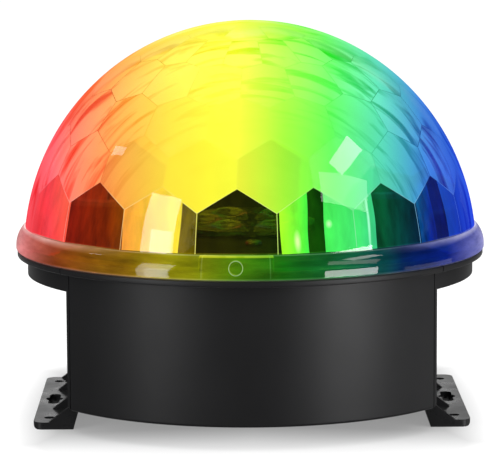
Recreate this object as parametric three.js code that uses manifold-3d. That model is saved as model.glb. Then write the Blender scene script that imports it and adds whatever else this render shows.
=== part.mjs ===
// Disco ball light: a clear faceted dome that a motor turns on a black drum with two mounting feet.
// Millimetres, +Z up. The origin is on the floor under the dome's axis and the front looks to -Y.
import * as THREE from 'three';
import { mergeVertices } from 'three/addons/utils/BufferGeometryUtils.js';
import Module from 'manifold-3d';

const wasm = await Module();
wasm.setup();

// Clearances, seams and tool overrun
const fitGap = 0.3;
const runGap = 0.4;
const seamGap = 0.5;
const blend = 0.5;
const cutOver = 1;
const weld = 0.0001;

// Facet counts of round forms
const fine = 48;
const plain = 36;
const medium = 24;
const coarse = 12;
const small = 8;
const least = 6;
const domeFacets = 40;
const domeSteps = 9;
const crownSteps = 3;
const edgeSteps = 2;

const fullTurn = 2 * Math.PI;
const frontAngle = -Math.PI / 2;

// Drum: round tub with two flats, a full round collar and a rim
const drumR = 95.2;
const flatDepth = 19.2;
const wall = 2.5;
const standHeight = 9.7;
const drumHeight = 57.3;
const collarHeight = 7.8;
const drumEdge = 1.2;
const flatEdge = 2.4;
const rimReach = 4.3;
const rimHeight = 2.5;
const rimEdge = 0.5;
const panelAngle = THREE.MathUtils.degToRad(51.6);

const flatX = drumR - flatDepth;
const rimR = drumR + rimReach;
const drumBottom = standHeight;
const rimBottom = drumBottom + drumHeight;
const rimTop = rimBottom + rimHeight;
const ledgeBottom = rimBottom - collarHeight;
const ledgeTop = ledgeBottom + wall;
const boreR = drumR - wall;
const boreX = flatX - wall;

// Clear dome with its ring, one moulding
const ringReach = 0.5;
const ringHeight = 9.6;
const ringBand = 1.5;
const ringWidth = 9.5;
const crownRise = 10.5;
const skirtWall = 3.5;
const skirtDepth = 3.1;
const domeInset = 3.3;
const domeWall = 3.3;
const crownWall = 5;
const domeRise = 98.4;
const domeDrop = 2.3;
const domeTurn = THREE.MathUtils.degToRad(-3.9);

const ringR = rimR + ringReach;
const ringBoreR = ringR - ringWidth;
const skirtR = ringR - skirtWall;
const domeR = ringR - domeInset;
const facetR = domeR - domeWall;
const facetRise = domeRise - crownWall;
const ringBottom = rimTop + runGap;
const ringTop = ringBottom + ringHeight;
const seatZ = ringBottom + skirtDepth;
const domeCentreZ = ringBottom - domeDrop;

// Rows of facets inside the dome: elevation in degrees, how many, and the share of a step they turn
const facetRows = [
  { elevation: 13.0, count: 18, turnShare: 0 },
  { elevation: 27.3, count: 18, turnShare: 0.5 },
  { elevation: 40.0, count: 18, turnShare: 0 },
  { elevation: 53.6, count: 18, turnShare: 0.5 },
  { elevation: 66.0, count: 18, turnShare: 0 },
  { elevation: 78.0, count: 9, turnShare: 0 },
  { elevation: 90.0, count: 1, turnShare: 0 },
];

// Snap tabs that hold the dome on its carrier
const tabCount = 3;
const tabWidth = 29.7;
const tabPocketDepth = 3.2;
const tabTopGap = 1.2;
const studR = 3;
const studReach = 0.8;
const studRise = 4.8;
const studZ = ringBottom + studRise;

// Posts moulded in the drum for the screws of feet, cover and chassis
const postR = 4.5;
const postY = 28;
const panelPostAngle = THREE.MathUtils.degToRad(25);
const postX = boreX + blend - postR;
const panelPostRadius = boreR + blend - postR;

// Lap strips of the housing behind the front panel's seams
const lapWidth = 8;
const lapThickness = 2.3;
const lapGap = 0.5;

// Bottom cover
const coverThickness = 3;
const coverTop = drumBottom + coverThickness;
const ventWidth = 3;
const ventPitch = 12;
const ventLength = 34;
const ventCount = 5;
const ventY = 26;
const standoffR = 3;
const standoffHeight = 5.8;

// Chassis plate inside the drum
const chassisDrop = 0.7;
const chassisThickness = 2.5;
const chassisHoleR = 20;
const chassisTop = ledgeBottom - chassisDrop;
const chassisBottom = chassisTop - chassisThickness;
const chassisR = boreR - runGap;
const chassisX = boreX - fitGap;

// Carrier ring with the internal gear
const ringTeeth = 84;
const pinionTeeth = 12;
const gearInset = 8.7;
const pressureAngle = THREE.MathUtils.degToRad(20);
const backlash = 0.3;
const ringTipShare = 0.6;
const pinionTipShare = 0.8;
const rootShare = 1.05;
const flangeInset = 2;
const flangeThickness = 2.5;
const gearWidth = 5.5;
const ringPitchR = boreR - gearInset;
const toothModule = (2 * ringPitchR) / ringTeeth;
const pinionPitchR = (toothModule * pinionTeeth) / 2;
const carrierR = boreR - runGap - fitGap;
const flangeR = skirtR - fitGap;
const flangeBoreR = ringPitchR - flangeInset;
const carrierBottom = ledgeTop + seamGap;
const gearTop = carrierBottom + gearWidth;
const flangeBottom = ringBottom + fitGap;
const flangeTop = flangeBottom + flangeThickness;

// Drive pinion on the motor's shaft
const shaftR = 2.5;
const shaftGap = 0.8;
const pinionHubR = 6.5;
const pinionHubHeight = 2.6;
const pinionBoreR = shaftR + fitGap;
const pinionTipR = pinionPitchR + pinionTipShare * toothModule;
const pinionY = pinionPitchR - ringPitchR;

// Guide rollers with a groove that runs on the flange's inner edge
const rollerCount = 3;
const rollerInset = 7;
const rollerLip = 2.8;
const rollerRimThickness = 1.8;
const pinR = 2;
const pinHeadR = 3.6;
const pinHeadHeight = 1;
const pinDepth = 8;
const rollerCircleR = flangeBoreR - rollerInset;
const grooveR = rollerInset - fitGap;
const rollerR = grooveR + rollerLip;
const grooveBottom = flangeBottom - fitGap;
const grooveTop = flangeTop + fitGap;
const rollerBottom = grooveBottom - rollerRimThickness;
const rollerTop = grooveTop + rollerRimThickness;
const rollerFirst = Math.PI / 2;

// Deck plate under the dome
const deckInset = 1.5;
const deckThickness = 2;
const deckEdge = 0.6;
const deckPostCount = 3;
const deckPostR = 4;
const deckPostGap = 2.4;
const deckPostFirst = Math.PI / 6;
const deckR = ringBoreR - deckInset;
const deckPostCircleR = -pinionY - pinionTipR - deckPostGap - deckPostR;
const deckBottom = rollerTop + fitGap + pinHeadHeight + seamGap;
const deckTop = deckBottom + deckThickness;

// Lamp: heat sink, board, six emitters, holder and lenses
const sinkR = 31;
const sinkPlate = 4;
const finCount = 9;
const finThickness = 1.6;
const finPitch = 6.2;
const boardThickness = 1.6;
const ledBoardR = 26.5;
const ledCount = 6;
const ledCircleR = 16;
const ledBase = 7;
const ledBaseHeight = 1;
const ledLensR = 2.7;
const holderGap = 0.7;
const holderWall = 2;
const holderHeight = 9.2;
const holderPlate = 1.8;
const lensR = 7;
const lensRise = 2.4;
const lensPlate = 1.6;
const holderTop = deckTop;
const boardBottom = holderTop - holderHeight;
const boardTop = boardBottom + boardThickness;
const sinkTop = boardBottom - fitGap;
const holderR = ledBoardR + holderGap + holderWall;
const deckHoleR = holderR + seamGap;

// Geared motor under the chassis
const motorR = 15;
const motorHeight = 12;
const gearboxHeight = 7;
const gearboxNoseR = 7.5;
const motorOffset = 8;
const earReach = 21;
const earR = 4.2;
const earThickness = 1.2;
const shaftBottomDepth = 5;
const shaftTopReach = 8;
const motorTop = chassisBottom - fitGap;

// Mounting feet
const footLength = 99;
const footWidth = 14.9;
const footPlate = 3;
const footCorner = 4;
const footEdge = 1.8;
const webInset = 1.8;
const webSlant = 2.7;
const ribWidth = 8.3;
const ribThickness = 2.8;
const ribY = 20.5;
const footHoleOffset = 8.8;
const footHoleInset = 10;
const footHoleR = 2.2;
const keyHeadR = 3.75;
const keySlotR = 2.35;
const keySlotLength = 21;
const footFlangeWidth = 12;
const footFlangeInset = 9.5;
const footFlangeThickness = 2.5;
const footFlangeLength = footLength - 2 * footFlangeInset;
const footHoleY = footLength / 2 - footHoleInset;
const footReach = flatX + footWidth;
const footHoleX = flatX + footHoleOffset;
const footTop = drumBottom - fitGap;
const footFlangeBottom = footTop - footFlangeThickness;

// Screws: radius and height of the head, radius and length of the thread
const screwR = 1.5;
const screwHeadR = 2.75;
const screwHeadHeight = 1.9;
const smallScrewR = 1.25;
const smallHeadR = 2.3;
const smallHeadHeight = 1.5;
const headCrownShare = 0.6;
const footScrewLength = 16;
const coverScrewLength = 14;
const chassisScrewLength = 11;
const deckScrewLength = 10;
const motorScrewLength = 4.2;
const panelScrewLength = 4.6;
const clearHoleR = screwR + fitGap;
const headSeat = drumBottom + screwHeadHeight + fitGap;
const smallHoleR = smallScrewR + fitGap;

// Control recess at the back and the plate in it
const recessWidth = 76;
const recessHeight = 28;
const recessRise = 12.3;
const recessDepth = 11.2;
const recessWall = 2.5;
const plateThickness = 2.5;
const lipThickness = 2.2;
const lipWidth = 5;
const lipHeight = 3;
const plateScrewInset = 2.8;
const recessX = recessWidth / 2;
const recessBottom = drumBottom + recessRise;
const recessTop = recessBottom + recessHeight;
const recessZ = recessBottom + recessHeight / 2;
const recessY = drumR - recessDepth;
const plateScrewX = recessX - plateScrewInset;
const plateBack = recessY - plateThickness;
const lipFront = plateBack - fitGap;
const lipBack = lipFront - lipThickness;

// Power inlet
const inletX = -26;
const inletFlangeR = 5.5;
const inletFlangeHeight = 1.5;
const inletR = 4.4;
const inletBoreR = 2.9;
const inletBoreDepth = 9;
const inletLength = 15;
const inletPinR = 1;
const inletFace = recessY + fitGap + inletFlangeHeight;

// Power switch
const switchX = -6;
const bezelWidth = 15;
const bezelHeight = 21;
const bezelThickness = 2;
const switchWidth = 12.6;
const switchHeight = 18.6;
const switchDepth = 14;
const terminalLength = 5;
const terminalWidth = 6.3;
const terminalThickness = 1;
const terminalPitch = 9.3;
const rockerWidth = 10.6;
const rockerHeight = 16.4;
const rockerRise = 4.4;
const rockerDish = 1.3;
const rockerSkirt = 2.4;
const rockerDepth = 2.6;
const rockerRoot = 5.4;
const rockerTilt = THREE.MathUtils.degToRad(8);
const wellHeight = 18.4;
const wellDepth = 8.3;
const pivotInset = 1;
const pivotR = 1;
const pivotReach = 0.7;
const bezelBack = recessY + fitGap;
const pivotY = recessY - pivotInset;

// Mode button and its push switch
const buttonX = 10.5;
const buttonR = 3.7;
const buttonProud = 2.4;
const buttonEdge = 0.5;
const buttonFlangeReach = 1;
const buttonFlangeHeight = 1.2;
const buttonTravel = 1;
const stemR = 1.4;
const stemSeat = 0.4;
const tactSize = 6;
const tactHeight = 2.3;

// Sound sensor
const micX = 18.5;
const micR = 3;
const micHoleR = 0.9;

// Sensitivity knob and its control
const knobX = 27;
const knobR = 5.8;
const knobHeight = 6;
const knobCap = 2;
const knobFlutes = 12;
const fluteR = 0.7;
const pointerWidth = 1;
const pointerDepth = 0.5;
const pointerStart = 2;
const knobShaftR = 2;
const potSize = 10;
const potBushR = 3.2;

// Boards
const boardSpace = 6.5;
const controlBoardX = 3;
const controlBoardLength = 30.2;
const controlBoardHeight = 25;
const boardFace = plateBack - boardSpace;
const partBack = boardFace + fitGap;
const partFront = plateBack - fitGap;
const tactTop = partBack + tactHeight;
const driverLength = 62;
const driverWidth = 44;
const driverCapR = 5;
const driverCapHeight = 18;
const driverCapX = 18;
const driverCoilR = 7;
const driverCoilHeight = 9;
const driverCoilX = -16;
const driverPlugLength = 16;
const driverPlugWidth = 7;
const driverPlugHeight = 10;
const driverPlugY = 15;

// Colours and finishes
const black = { color: 0x151517, roughness: 0.55, metalness: 0 };
const deepBlack = { color: 0x0b0b0c, roughness: 0.4, metalness: 0 };
const clear = { color: 0xf4f7fa, roughness: 0.05, metalness: 0, transparent: true, opacity: 0.4 };
const ivory = { color: 0xe6e2d6, roughness: 0.45, metalness: 0 };
const steel = { color: 0x9a9ca0, roughness: 0.35, metalness: 1 };
const aluminium = { color: 0xb8bbbe, roughness: 0.45, metalness: 1 };
const boardGreen = { color: 0x1f5c37, roughness: 0.5, metalness: 0 };
const boardWhite = { color: 0xe9ebe8, roughness: 0.5, metalness: 0 };
const brass = { color: 0xc8a252, roughness: 0.3, metalness: 1 };
const gloss = { color: 0x18181a, roughness: 0.25, metalness: 0 };
const pale = { color: 0xd9d9d6, roughness: 0.5, metalness: 0 };
const emitters = [
  ['led_red', 0xff4030],
  ['led_green', 0x40e060],
  ['led_blue', 0x3060ff],
  ['led_white', 0xfff6e8],
  ['led_amber', 0xffa030],
  ['led_violet', 0x9040ff],
];

const model = new THREE.Group();

// Basic solids

// Makes a solid from a closed three.js geometry
function solid(geometry) {
  const bare = geometry.clone();
  bare.deleteAttribute('normal');
  bare.deleteAttribute('uv');
  const merged = mergeVertices(bare, weld);
  return new wasm.Manifold(new wasm.Mesh({
    numProp: 3,
    vertProperties: new Float32Array(merged.attributes.position.array),
    triVerts: new Uint32Array(merged.index.array),
  }));
}

// Makes a three.js geometry from a solid
function toGeometry(body) {
  const mesh = body.getMesh();
  const geometry = new THREE.BufferGeometry();
  geometry.setAttribute('position', new THREE.BufferAttribute(mesh.vertProperties, 3));
  geometry.setIndex(new THREE.BufferAttribute(mesh.triVerts, 1));
  const flat = geometry.toNonIndexed();
  flat.computeVertexNormals();
  return flat;
}

// Adds a named piece to the model
function add(name, body, finish, parent = model) {
  const geometry = body.isBufferGeometry ? body : toGeometry(body);
  const piece = new THREE.Mesh(geometry, new THREE.MeshStandardMaterial(finish));
  piece.name = name;
  parent.add(piece);
  return piece;
}

// A box between two corners
function box(x0, x1, y0, y1, z0, z1) {
  const geometry = new THREE.BoxGeometry(x1 - x0, y1 - y0, z1 - z0);
  geometry.translate((x0 + x1) / 2, (y0 + y1) / 2, (z0 + z1) / 2);
  return solid(geometry);
}

// An upright round bar
function bar(radius, z0, z1, x = 0, y = 0, facets = medium) {
  const geometry = new THREE.CylinderGeometry(radius, radius, z1 - z0, facets);
  geometry.rotateX(Math.PI / 2);
  geometry.translate(x, y, (z0 + z1) / 2);
  return solid(geometry);
}

// A round bar along Y
function barY(radius, y0, y1, x, z, facets = medium) {
  const geometry = new THREE.CylinderGeometry(radius, radius, y1 - y0, facets);
  geometry.translate(x, (y0 + y1) / 2, z);
  return solid(geometry);
}

// A flat outline pulled up from one height to another
function prism(shape, z0, z1, curveFacets = coarse) {
  const options = { depth: z1 - z0, bevelEnabled: false, curveSegments: curveFacets };
  const geometry = new THREE.ExtrudeGeometry(shape, options);
  geometry.translate(0, 0, z0);
  return solid(geometry);
}

// An outline in X and Z pulled along Y
function prismY(shape, y0, y1, curveFacets = coarse) {
  const options = { depth: y1 - y0, bevelEnabled: false, curveSegments: curveFacets };
  const geometry = new THREE.ExtrudeGeometry(shape, options);
  geometry.rotateX(Math.PI / 2);
  geometry.translate(0, y1, 0);
  return solid(geometry);
}

// A round bar along X, with its middle at x = 0
function barX(radius, length, y, z) {
  const geometry = new THREE.CylinderGeometry(radius, radius, length, coarse);
  geometry.rotateZ(Math.PI / 2);
  geometry.translate(0, y, z);
  return solid(geometry);
}

// A closed profile of radius and height turned about Z
function turned(profile, facets = fine) {
  const points = profile.map(([radius, height]) => new THREE.Vector2(radius, height));
  const geometry = new THREE.LatheGeometry(points, facets);
  geometry.rotateX(Math.PI / 2);
  return solid(geometry);
}

// A straight-sided outline from a list of corners
function outline(corners) {
  return new THREE.Shape(corners.map(([x, y]) => new THREE.Vector2(x, y)));
}

// Points of an arc about a centre, from one angle to another
function arc(cx, cy, rx, ry, from, to, steps) {
  const points = [];
  for (let i = 0; i <= steps; i += 1) {
    const angle = from + ((to - from) * i) / steps;
    points.push([cx + rx * Math.cos(angle), cy + ry * Math.sin(angle)]);
  }
  return points;
}

// The points of a ring of places about the axis
function circlePlaces(count, radius, first) {
  const places = [];
  for (let i = 0; i < count; i += 1) {
    const angle = first + (fullTurn * i) / count;
    places.push({ x: radius * Math.cos(angle), y: radius * Math.sin(angle), angle });
  }
  return places;
}

// Joins many solids into one
function join(parts) {
  return parts.reduce((sum, part) => sum.add(part));
}

// Cuts many tools from a solid
function cut(body, tools) {
  return tools.reduce((rest, tool) => rest.subtract(tool), body);
}

// A wedge of the drum's whole height at the front, that reaches past the rim
function frontWedge(halfAngle) {
  const shape = new THREE.Shape();
  shape.moveTo(0, 0);
  shape.absarc(0, 0, rimR + drumR, frontAngle - halfAngle, frontAngle + halfAngle, false);
  shape.lineTo(0, 0);
  return prism(shape, 0, ringTop, edgeSteps);
}

// A curved bar: part of a ring between two radii and two angles
function ringPart(innerR, outerR, z0, z1, from, to) {
  const shape = new THREE.Shape();
  shape.absarc(0, 0, outerR, from, to, false);
  shape.absarc(0, 0, innerR, to, from, true);
  return prism(shape, z0, z1, edgeSteps);
}

// Drum

// The drum's outer form at a given inset: T-shaped from the front, because the collar stays round
function drumSides(halfWidth, bottom, step, top, corner) {
  const reach = rimR + cutOver;
  const right = arc(halfWidth - corner, bottom + corner, corner, corner, frontAngle, 0, edgeSteps);
  const left = right.map(([x, z]) => [-x, z]).reverse();
  return outline([[-reach, top], [-reach, step], [-halfWidth, step], ...left,
    ...right, [halfWidth, step], [reach, step], [reach, top]]);
}

function drumForm() {
  const round = turned([
    [0, drumBottom],
    ...arc(drumR - drumEdge, drumBottom + drumEdge, drumEdge, drumEdge, frontAngle, 0, edgeSteps),
    [drumR, rimBottom],
    [rimR - rimEdge, rimBottom],
    [rimR, rimBottom + rimEdge],
    [rimR, rimTop - rimEdge],
    [rimR - rimEdge, rimTop],
    [0, rimTop],
  ]);
  const sides = drumSides(flatX, drumBottom, ledgeBottom, rimTop + cutOver, flatEdge);
  return round.intersect(prismY(sides, -rimR - cutOver, rimR + cutOver));
}

function drumBore() {
  const round = bar(boreR, drumBottom - cutOver, rimTop + cutOver, 0, 0, fine);
  const sides = drumSides(boreX, 0, ledgeTop, ringTop, blend);
  return round.intersect(prismY(sides, -rimR, rimR));
}

const backPosts = [[postX, postY], [-postX, postY]];
const frontPosts = [[postX, -postY], [-postX, -postY]];
const housePosts = [...backPosts, ...frontPosts];
const panelPosts = [-1, 1].map((side) => [
  side * panelPostRadius * Math.sin(panelPostAngle),
  -panelPostRadius * Math.cos(panelPostAngle),
]);
const postBottom = coverTop + fitGap;
const postTop = chassisBottom - fitGap;

function post([x, y]) {
  return bar(postR, postBottom, postTop, x, y, small);
}

function postHole([x, y]) {
  return bar(clearHoleR, postBottom - cutOver, postTop + cutOver, x, y, least);
}

// The box round the control recess, and the recess itself
function recessBox() {
  return box(-recessX - recessWall, recessX + recessWall, lipBack, rimR,
    recessBottom - recessWall, recessTop + recessWall);
}

function recessCuts() {
  const pocket = box(-recessX, recessX, lipFront, rimR + cutOver, recessBottom, recessTop);
  const window = box(-recessX + lipWidth, recessX - lipWidth, 0, rimR + cutOver,
    recessBottom + lipHeight, recessTop - lipHeight);
  const screwHoles = [-1, 1].map((side) => (
    barY(smallHoleR, lipBack - cutOver, rimR, side * plateScrewX, recessZ, coarse)
  ));
  return [pocket, window, ...screwHoles];
}

function housing() {
  const form = drumForm();
  const shell = form.subtract(drumBore());
  const withBox = shell.add(form.intersect(recessBox()));
  const behind = panelAngle + seamGap / drumR;
  const open = cut(withBox, [
    frontWedge(behind),
    ...recessCuts(),
  ]);
  const lapOuter = boreR - lapGap;
  const laps = [-1, 1].map((side) => {
    const start = frontAngle + side * (panelAngle - lapWidth / boreR);
    const root = frontAngle + side * (behind + seamGap / drumR);
    const end = frontAngle + side * (behind + wall / boreR);
    const low = Math.min(start, end);
    const high = Math.max(start, end);
    const strip = ringPart(lapOuter - lapThickness, lapOuter, postBottom, postTop, low, high);
    return strip.add(ringPart(lapOuter - lapThickness, boreR + blend, postBottom, postTop,
      Math.min(root, end), Math.max(root, end)));
  });
  const sides = drumSides(flatX - blend, 0, ledgeBottom, rimTop, blend);
  const trimmedLaps = laps.map((lap) => lap.intersect(prismY(sides, -rimR, rimR)));
  const joined = join([open, ...trimmedLaps, ...housePosts.map(post)]);
  return cut(joined, housePosts.map(postHole));
}

function frontPanel() {
  const shell = drumForm().subtract(drumBore());
  const part = shell.intersect(frontWedge(panelAngle));
  return cut(join([part, ...panelPosts.map(post)]), panelPosts.map(postHole));
}

function bottomCover() {
  const round = bar(boreR - fitGap, drumBottom, coverTop, 0, 0, plain);
  const inside = round.intersect(box(-boreX + fitGap, boreX - fitGap, -rimR, rimR, 0, coverTop));
  const standoffs = driverCorners().map(([x, y]) => (
    bar(standoffR, coverTop - blend, coverTop + standoffHeight, x, y, small)
  ));
  const slots = [];
  for (const side of [-1, 1]) {
    for (let i = 0; i < ventCount; i += 1) {
      const x = (i - (ventCount - 1) / 2) * ventPitch;
      const half = ventWidth / 2;
      const y0 = side * (ventY + ventLength);
      slots.push(box(x - half, x + half, Math.min(side * ventY, y0), Math.max(side * ventY, y0),
        drumBottom - cutOver, coverTop + cutOver));
    }
  }
  const holes = [...housePosts, ...panelPosts].map(([x, y]) => (
    bar(clearHoleR, drumBottom - cutOver, coverTop + cutOver, x, y, least)
  ));
  const headRecesses = panelPosts.map(([x, y]) => (
    bar(screwHeadR + fitGap, drumBottom - cutOver, headSeat, x, y, coarse)
  ));
  return cut(join([inside, ...standoffs]), [...slots, ...holes, ...headRecesses]);
}

// Feet

function footPlan(inner) {
  const shape = new THREE.Shape();
  const half = footLength / 2;
  shape.moveTo(inner, -half);
  shape.lineTo(footReach - footCorner, -half);
  shape.absarc(footReach - footCorner, -half + footCorner, footCorner, frontAngle, 0, false);
  shape.lineTo(footReach, half - footCorner);
  shape.absarc(footReach - footCorner, half - footCorner, footCorner, 0, Math.PI / 2, false);
  shape.lineTo(inner, half);
  return shape;
}

// A double keyhole: a round way for the screw's head with a slot to either side
function keyhole() {
  const half = keySlotLength / 2 - keySlotR;
  const z0 = -cutOver;
  const z1 = footPlate + cutOver;
  return join([
    bar(keyHeadR, z0, z1, footHoleX, 0, coarse),
    box(footHoleX - keySlotR, footHoleX + keySlotR, -half, half, z0, z1),
    bar(keySlotR, z0, z1, footHoleX, -half, coarse),
    bar(keySlotR, z0, z1, footHoleX, half, coarse),
  ]);
}

function foot() {
  const half = footLength / 2;
  const footSection = outline([
    [flatX - webInset, 0],
    ...arc(footReach - footEdge, footEdge, footEdge, footEdge, frontAngle, 0, edgeSteps + 1),
    [footReach, footPlate],
    [flatX, footPlate],
    [flatX, footTop],
    [flatX - webInset - webSlant, footTop],
  ]);
  const body = prismY(footSection, -half, half);
  const plan = prism(footPlan(flatX - footFlangeWidth), -cutOver, footTop + cutOver, edgeSteps + 1);
  const ribOutline = outline([
    [flatX - blend, footPlate - blend],
    [flatX + ribWidth, footPlate - blend],
    [flatX + ribWidth, footPlate],
    [flatX, footTop],
    [flatX - blend, footTop],
  ]);
  const ribMiddles = [-half + ribThickness / 2, -ribY, ribY, half - ribThickness / 2];
  const ribs = ribMiddles.map((y) => prismY(ribOutline, y - ribThickness / 2, y + ribThickness / 2));
  const flange = box(flatX - footFlangeWidth, flatX - blend, -footFlangeLength / 2,
    footFlangeLength / 2, footFlangeBottom, footTop);
  const holes = [
    keyhole(),
    ...[-1, 1].map((side) => bar(footHoleR, -cutOver, footPlate + cutOver,
      footHoleX, side * footHoleY, coarse)),
    ...[-1, 1].map((side) => bar(clearHoleR, 0, footTop + cutOver, postX, side * postY, least)),
    ...[-1, 1].map((side) => bar(screwHeadR + fitGap, -cutOver, footFlangeBottom,
      postX, side * postY, coarse)),
  ];
  return cut(join([body.intersect(plan), ...ribs, flange]), holes);
}

// Screws

// A pan head screw, head down at z = 0 and thread upward
function screw(headR, headHeight, threadR, length) {
  return turned([[0, -headHeight], [headR * headCrownShare, -headHeight], [headR, -headHeight / 2],
    [headR, 0], [threadR, 0], [threadR, length], [0, length]], least);
}

// Puts copies of a screw at places; those that go down are turned over
function addScrews(name, body, places, z, down) {
  const geometry = toGeometry(body);
  places.forEach(([x, y], i) => {
    const piece = add(`${name}_${i + 1}`, geometry, steel);
    piece.position.set(x, y, z);
    piece.rotation.x = down ? Math.PI : 0;
  });
}

// Chassis

const rollerPlaces = circlePlaces(rollerCount, rollerCircleR, rollerFirst);
const deckPostPlaces = circlePlaces(deckPostCount, deckPostCircleR, deckPostFirst);
const chassisScrewPlaces = [...backPosts, ...panelPosts];
const motorY = pinionY + motorOffset;
const motorEars = [[earReach, motorY], [-earReach, motorY]];
const rollerSeatTop = rollerBottom - fitGap;

function chassisPlate() {
  const plate = bar(chassisR, chassisBottom, chassisTop, 0, 0, plain)
    .intersect(box(-chassisX, chassisX, -rimR, rimR, 0, rimTop));
  const seats = rollerPlaces.map(({ x, y }) => (
    bar(postR, chassisTop - blend, rollerSeatTop, x, y, small)
  ));
  const posts = deckPostPlaces.map(({ x, y }) => (
    bar(deckPostR, chassisTop - blend, deckBottom - fitGap, x, y, small)
  ));
  const holes = [
    bar(chassisHoleR, chassisBottom - cutOver, chassisTop + cutOver),
    bar(shaftR + shaftGap, chassisBottom - cutOver, chassisTop + cutOver, 0, pinionY, coarse),
    ...chassisScrewPlaces.map(([x, y]) => (
      bar(clearHoleR, chassisBottom - cutOver, chassisTop + cutOver, x, y, least)
    )),
    ...motorEars.map(([x, y]) => (
      bar(smallHoleR, chassisBottom - cutOver, chassisTop + cutOver, x, y, least)
    )),
    ...rollerPlaces.map(({ x, y }) => (
      bar(pinR + fitGap, rollerSeatTop - pinDepth, rollerSeatTop + cutOver, x, y, coarse)
    )),
    ...deckPostPlaces.map(({ x, y }) => (
      bar(clearHoleR, deckBottom - deckScrewLength - fitGap, deckBottom, x, y, least)
    )),
  ];
  return cut(join([plate, ...seats, ...posts]), holes);
}

// Gears

// Half the angle of an involute tooth at a radius
function halfToothAngle(radius, pitchR, teeth, widening) {
  const baseR = pitchR * Math.cos(pressureAngle);
  const involute = (angle) => Math.tan(angle) - angle;
  const here = radius > baseR ? Math.acos(baseR / radius) : 0;
  const atPitch = Math.PI / (2 * teeth) + widening / (2 * pitchR);
  return atPitch + involute(pressureAngle) - involute(here);
}

// The toothed outline of a wheel, with one tooth on the first angle
function toothedPoints(pitchR, teeth, rootR, tipR, widening, first, steps) {
  const points = [];
  for (let tooth = 0; tooth < teeth; tooth += 1) {
    const middle = first + (fullTurn * tooth) / teeth;
    for (let i = 0; i <= 2 * steps + 1; i += 1) {
      const rising = i <= steps;
      const step = rising ? i : 2 * steps + 1 - i;
      const radius = rootR + ((tipR - rootR) * step) / steps;
      const half = halfToothAngle(radius, pitchR, teeth, widening);
      const angle = middle + (rising ? -half : half);
      points.push([radius * Math.cos(angle), radius * Math.sin(angle)]);
    }
  }
  return points;
}

function drivePinion() {
  const rootR = pinionPitchR - rootShare * toothModule;
  const teeth = toothedPoints(pinionPitchR, pinionTeeth, rootR, pinionTipR, -backlash / 2,
    frontAngle, 2);
  const low = chassisTop + runGap;
  const gearBottom = low + pinionHubHeight;
  const wheel = prism(outline(teeth), gearBottom, gearTop + fitGap);
  const hub = bar(pinionHubR, low, gearBottom + blend, 0, 0, coarse);
  return cut(join([wheel, hub]), [
    bar(pinionBoreR, low - cutOver, gearTop + cutOver, 0, 0, coarse),
  ]);
}

// The dome's carrier: ring gear inside, flange on top and snap tabs that reach into the clear ring
function domeCarrier() {
  const tipR = ringPitchR - ringTipShare * toothModule;
  const rootR = ringPitchR + rootShare * toothModule;
  const spaces = toothedPoints(ringPitchR, ringTeeth, tipR, rootR, backlash / 2, frontAngle, 1);
  const gearShape = new THREE.Shape();
  gearShape.absarc(0, 0, carrierR, 0, fullTurn, false);
  const inner = new THREE.Path(spaces.map(([x, y]) => new THREE.Vector2(x, y)));
  gearShape.holes.push(inner);
  const gear = prism(gearShape, carrierBottom, gearTop, plain / 2);
  const webR = rootR + blend;
  const web = turned([[webR, gearTop - blend], [carrierR, gearTop - blend],
    [carrierR, flangeBottom + blend], [webR, flangeBottom + blend], [webR, gearTop - blend]], plain);
  const flange = turned([[flangeBoreR, flangeBottom], [flangeR, flangeBottom], [flangeR, flangeTop],
    [flangeBoreR, flangeTop], [flangeBoreR, flangeBottom]]);
  const tabs = tabPlaces().map(({ angle }) => {
    const tabHalf = Math.asin(tabWidth / 2 / skirtR) - fitGap / skirtR;
    const tabInner = skirtR - tabPocketDepth + fitGap;
    const tab = ringPart(tabInner, flangeR, flangeTop - blend, ringTop - tabTopGap - fitGap,
      angle - tabHalf, angle + tabHalf);
    return tab.add(stud(studR - fitGap, flangeR - blend, flangeR + studReach, angle));
  });
  return join([gear, web, flange, ...tabs]);
}

// Where the snap tabs are: the first one is under the middle of a facet at the front
function tabPlaces() {
  return circlePlaces(tabCount, skirtR, frontAngle + domeTurn);
}

// A round stud that points outward at an angle
function stud(radius, innerR, outerR, angle) {
  const geometry = new THREE.CylinderGeometry(radius, radius, outerR - innerR, coarse);
  geometry.rotateZ(Math.PI / 2);
  geometry.translate((innerR + outerR) / 2, 0, studZ);
  geometry.rotateZ(angle);
  return solid(geometry);
}

// Dome

// The faceted hollow: every facet is a plane that touches one ellipsoid
function facetedHollow() {
  let hollow = bar(ringR, ringTop, domeCentreZ + domeRise, 0, 0, fine);
  for (const { elevation, count, turnShare } of facetRows) {
    const rise = THREE.MathUtils.degToRad(elevation);
    for (let i = 0; i < count; i += 1) {
      const turn = frontAngle + domeTurn + (fullTurn * (i + turnShare)) / count;
      const slope = new THREE.Vector3(
        (Math.cos(rise) * Math.cos(turn)) / facetR,
        (Math.cos(rise) * Math.sin(turn)) / facetR,
        Math.sin(rise) / facetRise,
      );
      const distance = 1 / slope.length();
      const inward = slope.clone().normalize().negate();
      hollow = hollow.trimByPlane(inward.toArray(), inward.z * domeCentreZ - distance);
    }
  }
  return hollow;
}

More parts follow.
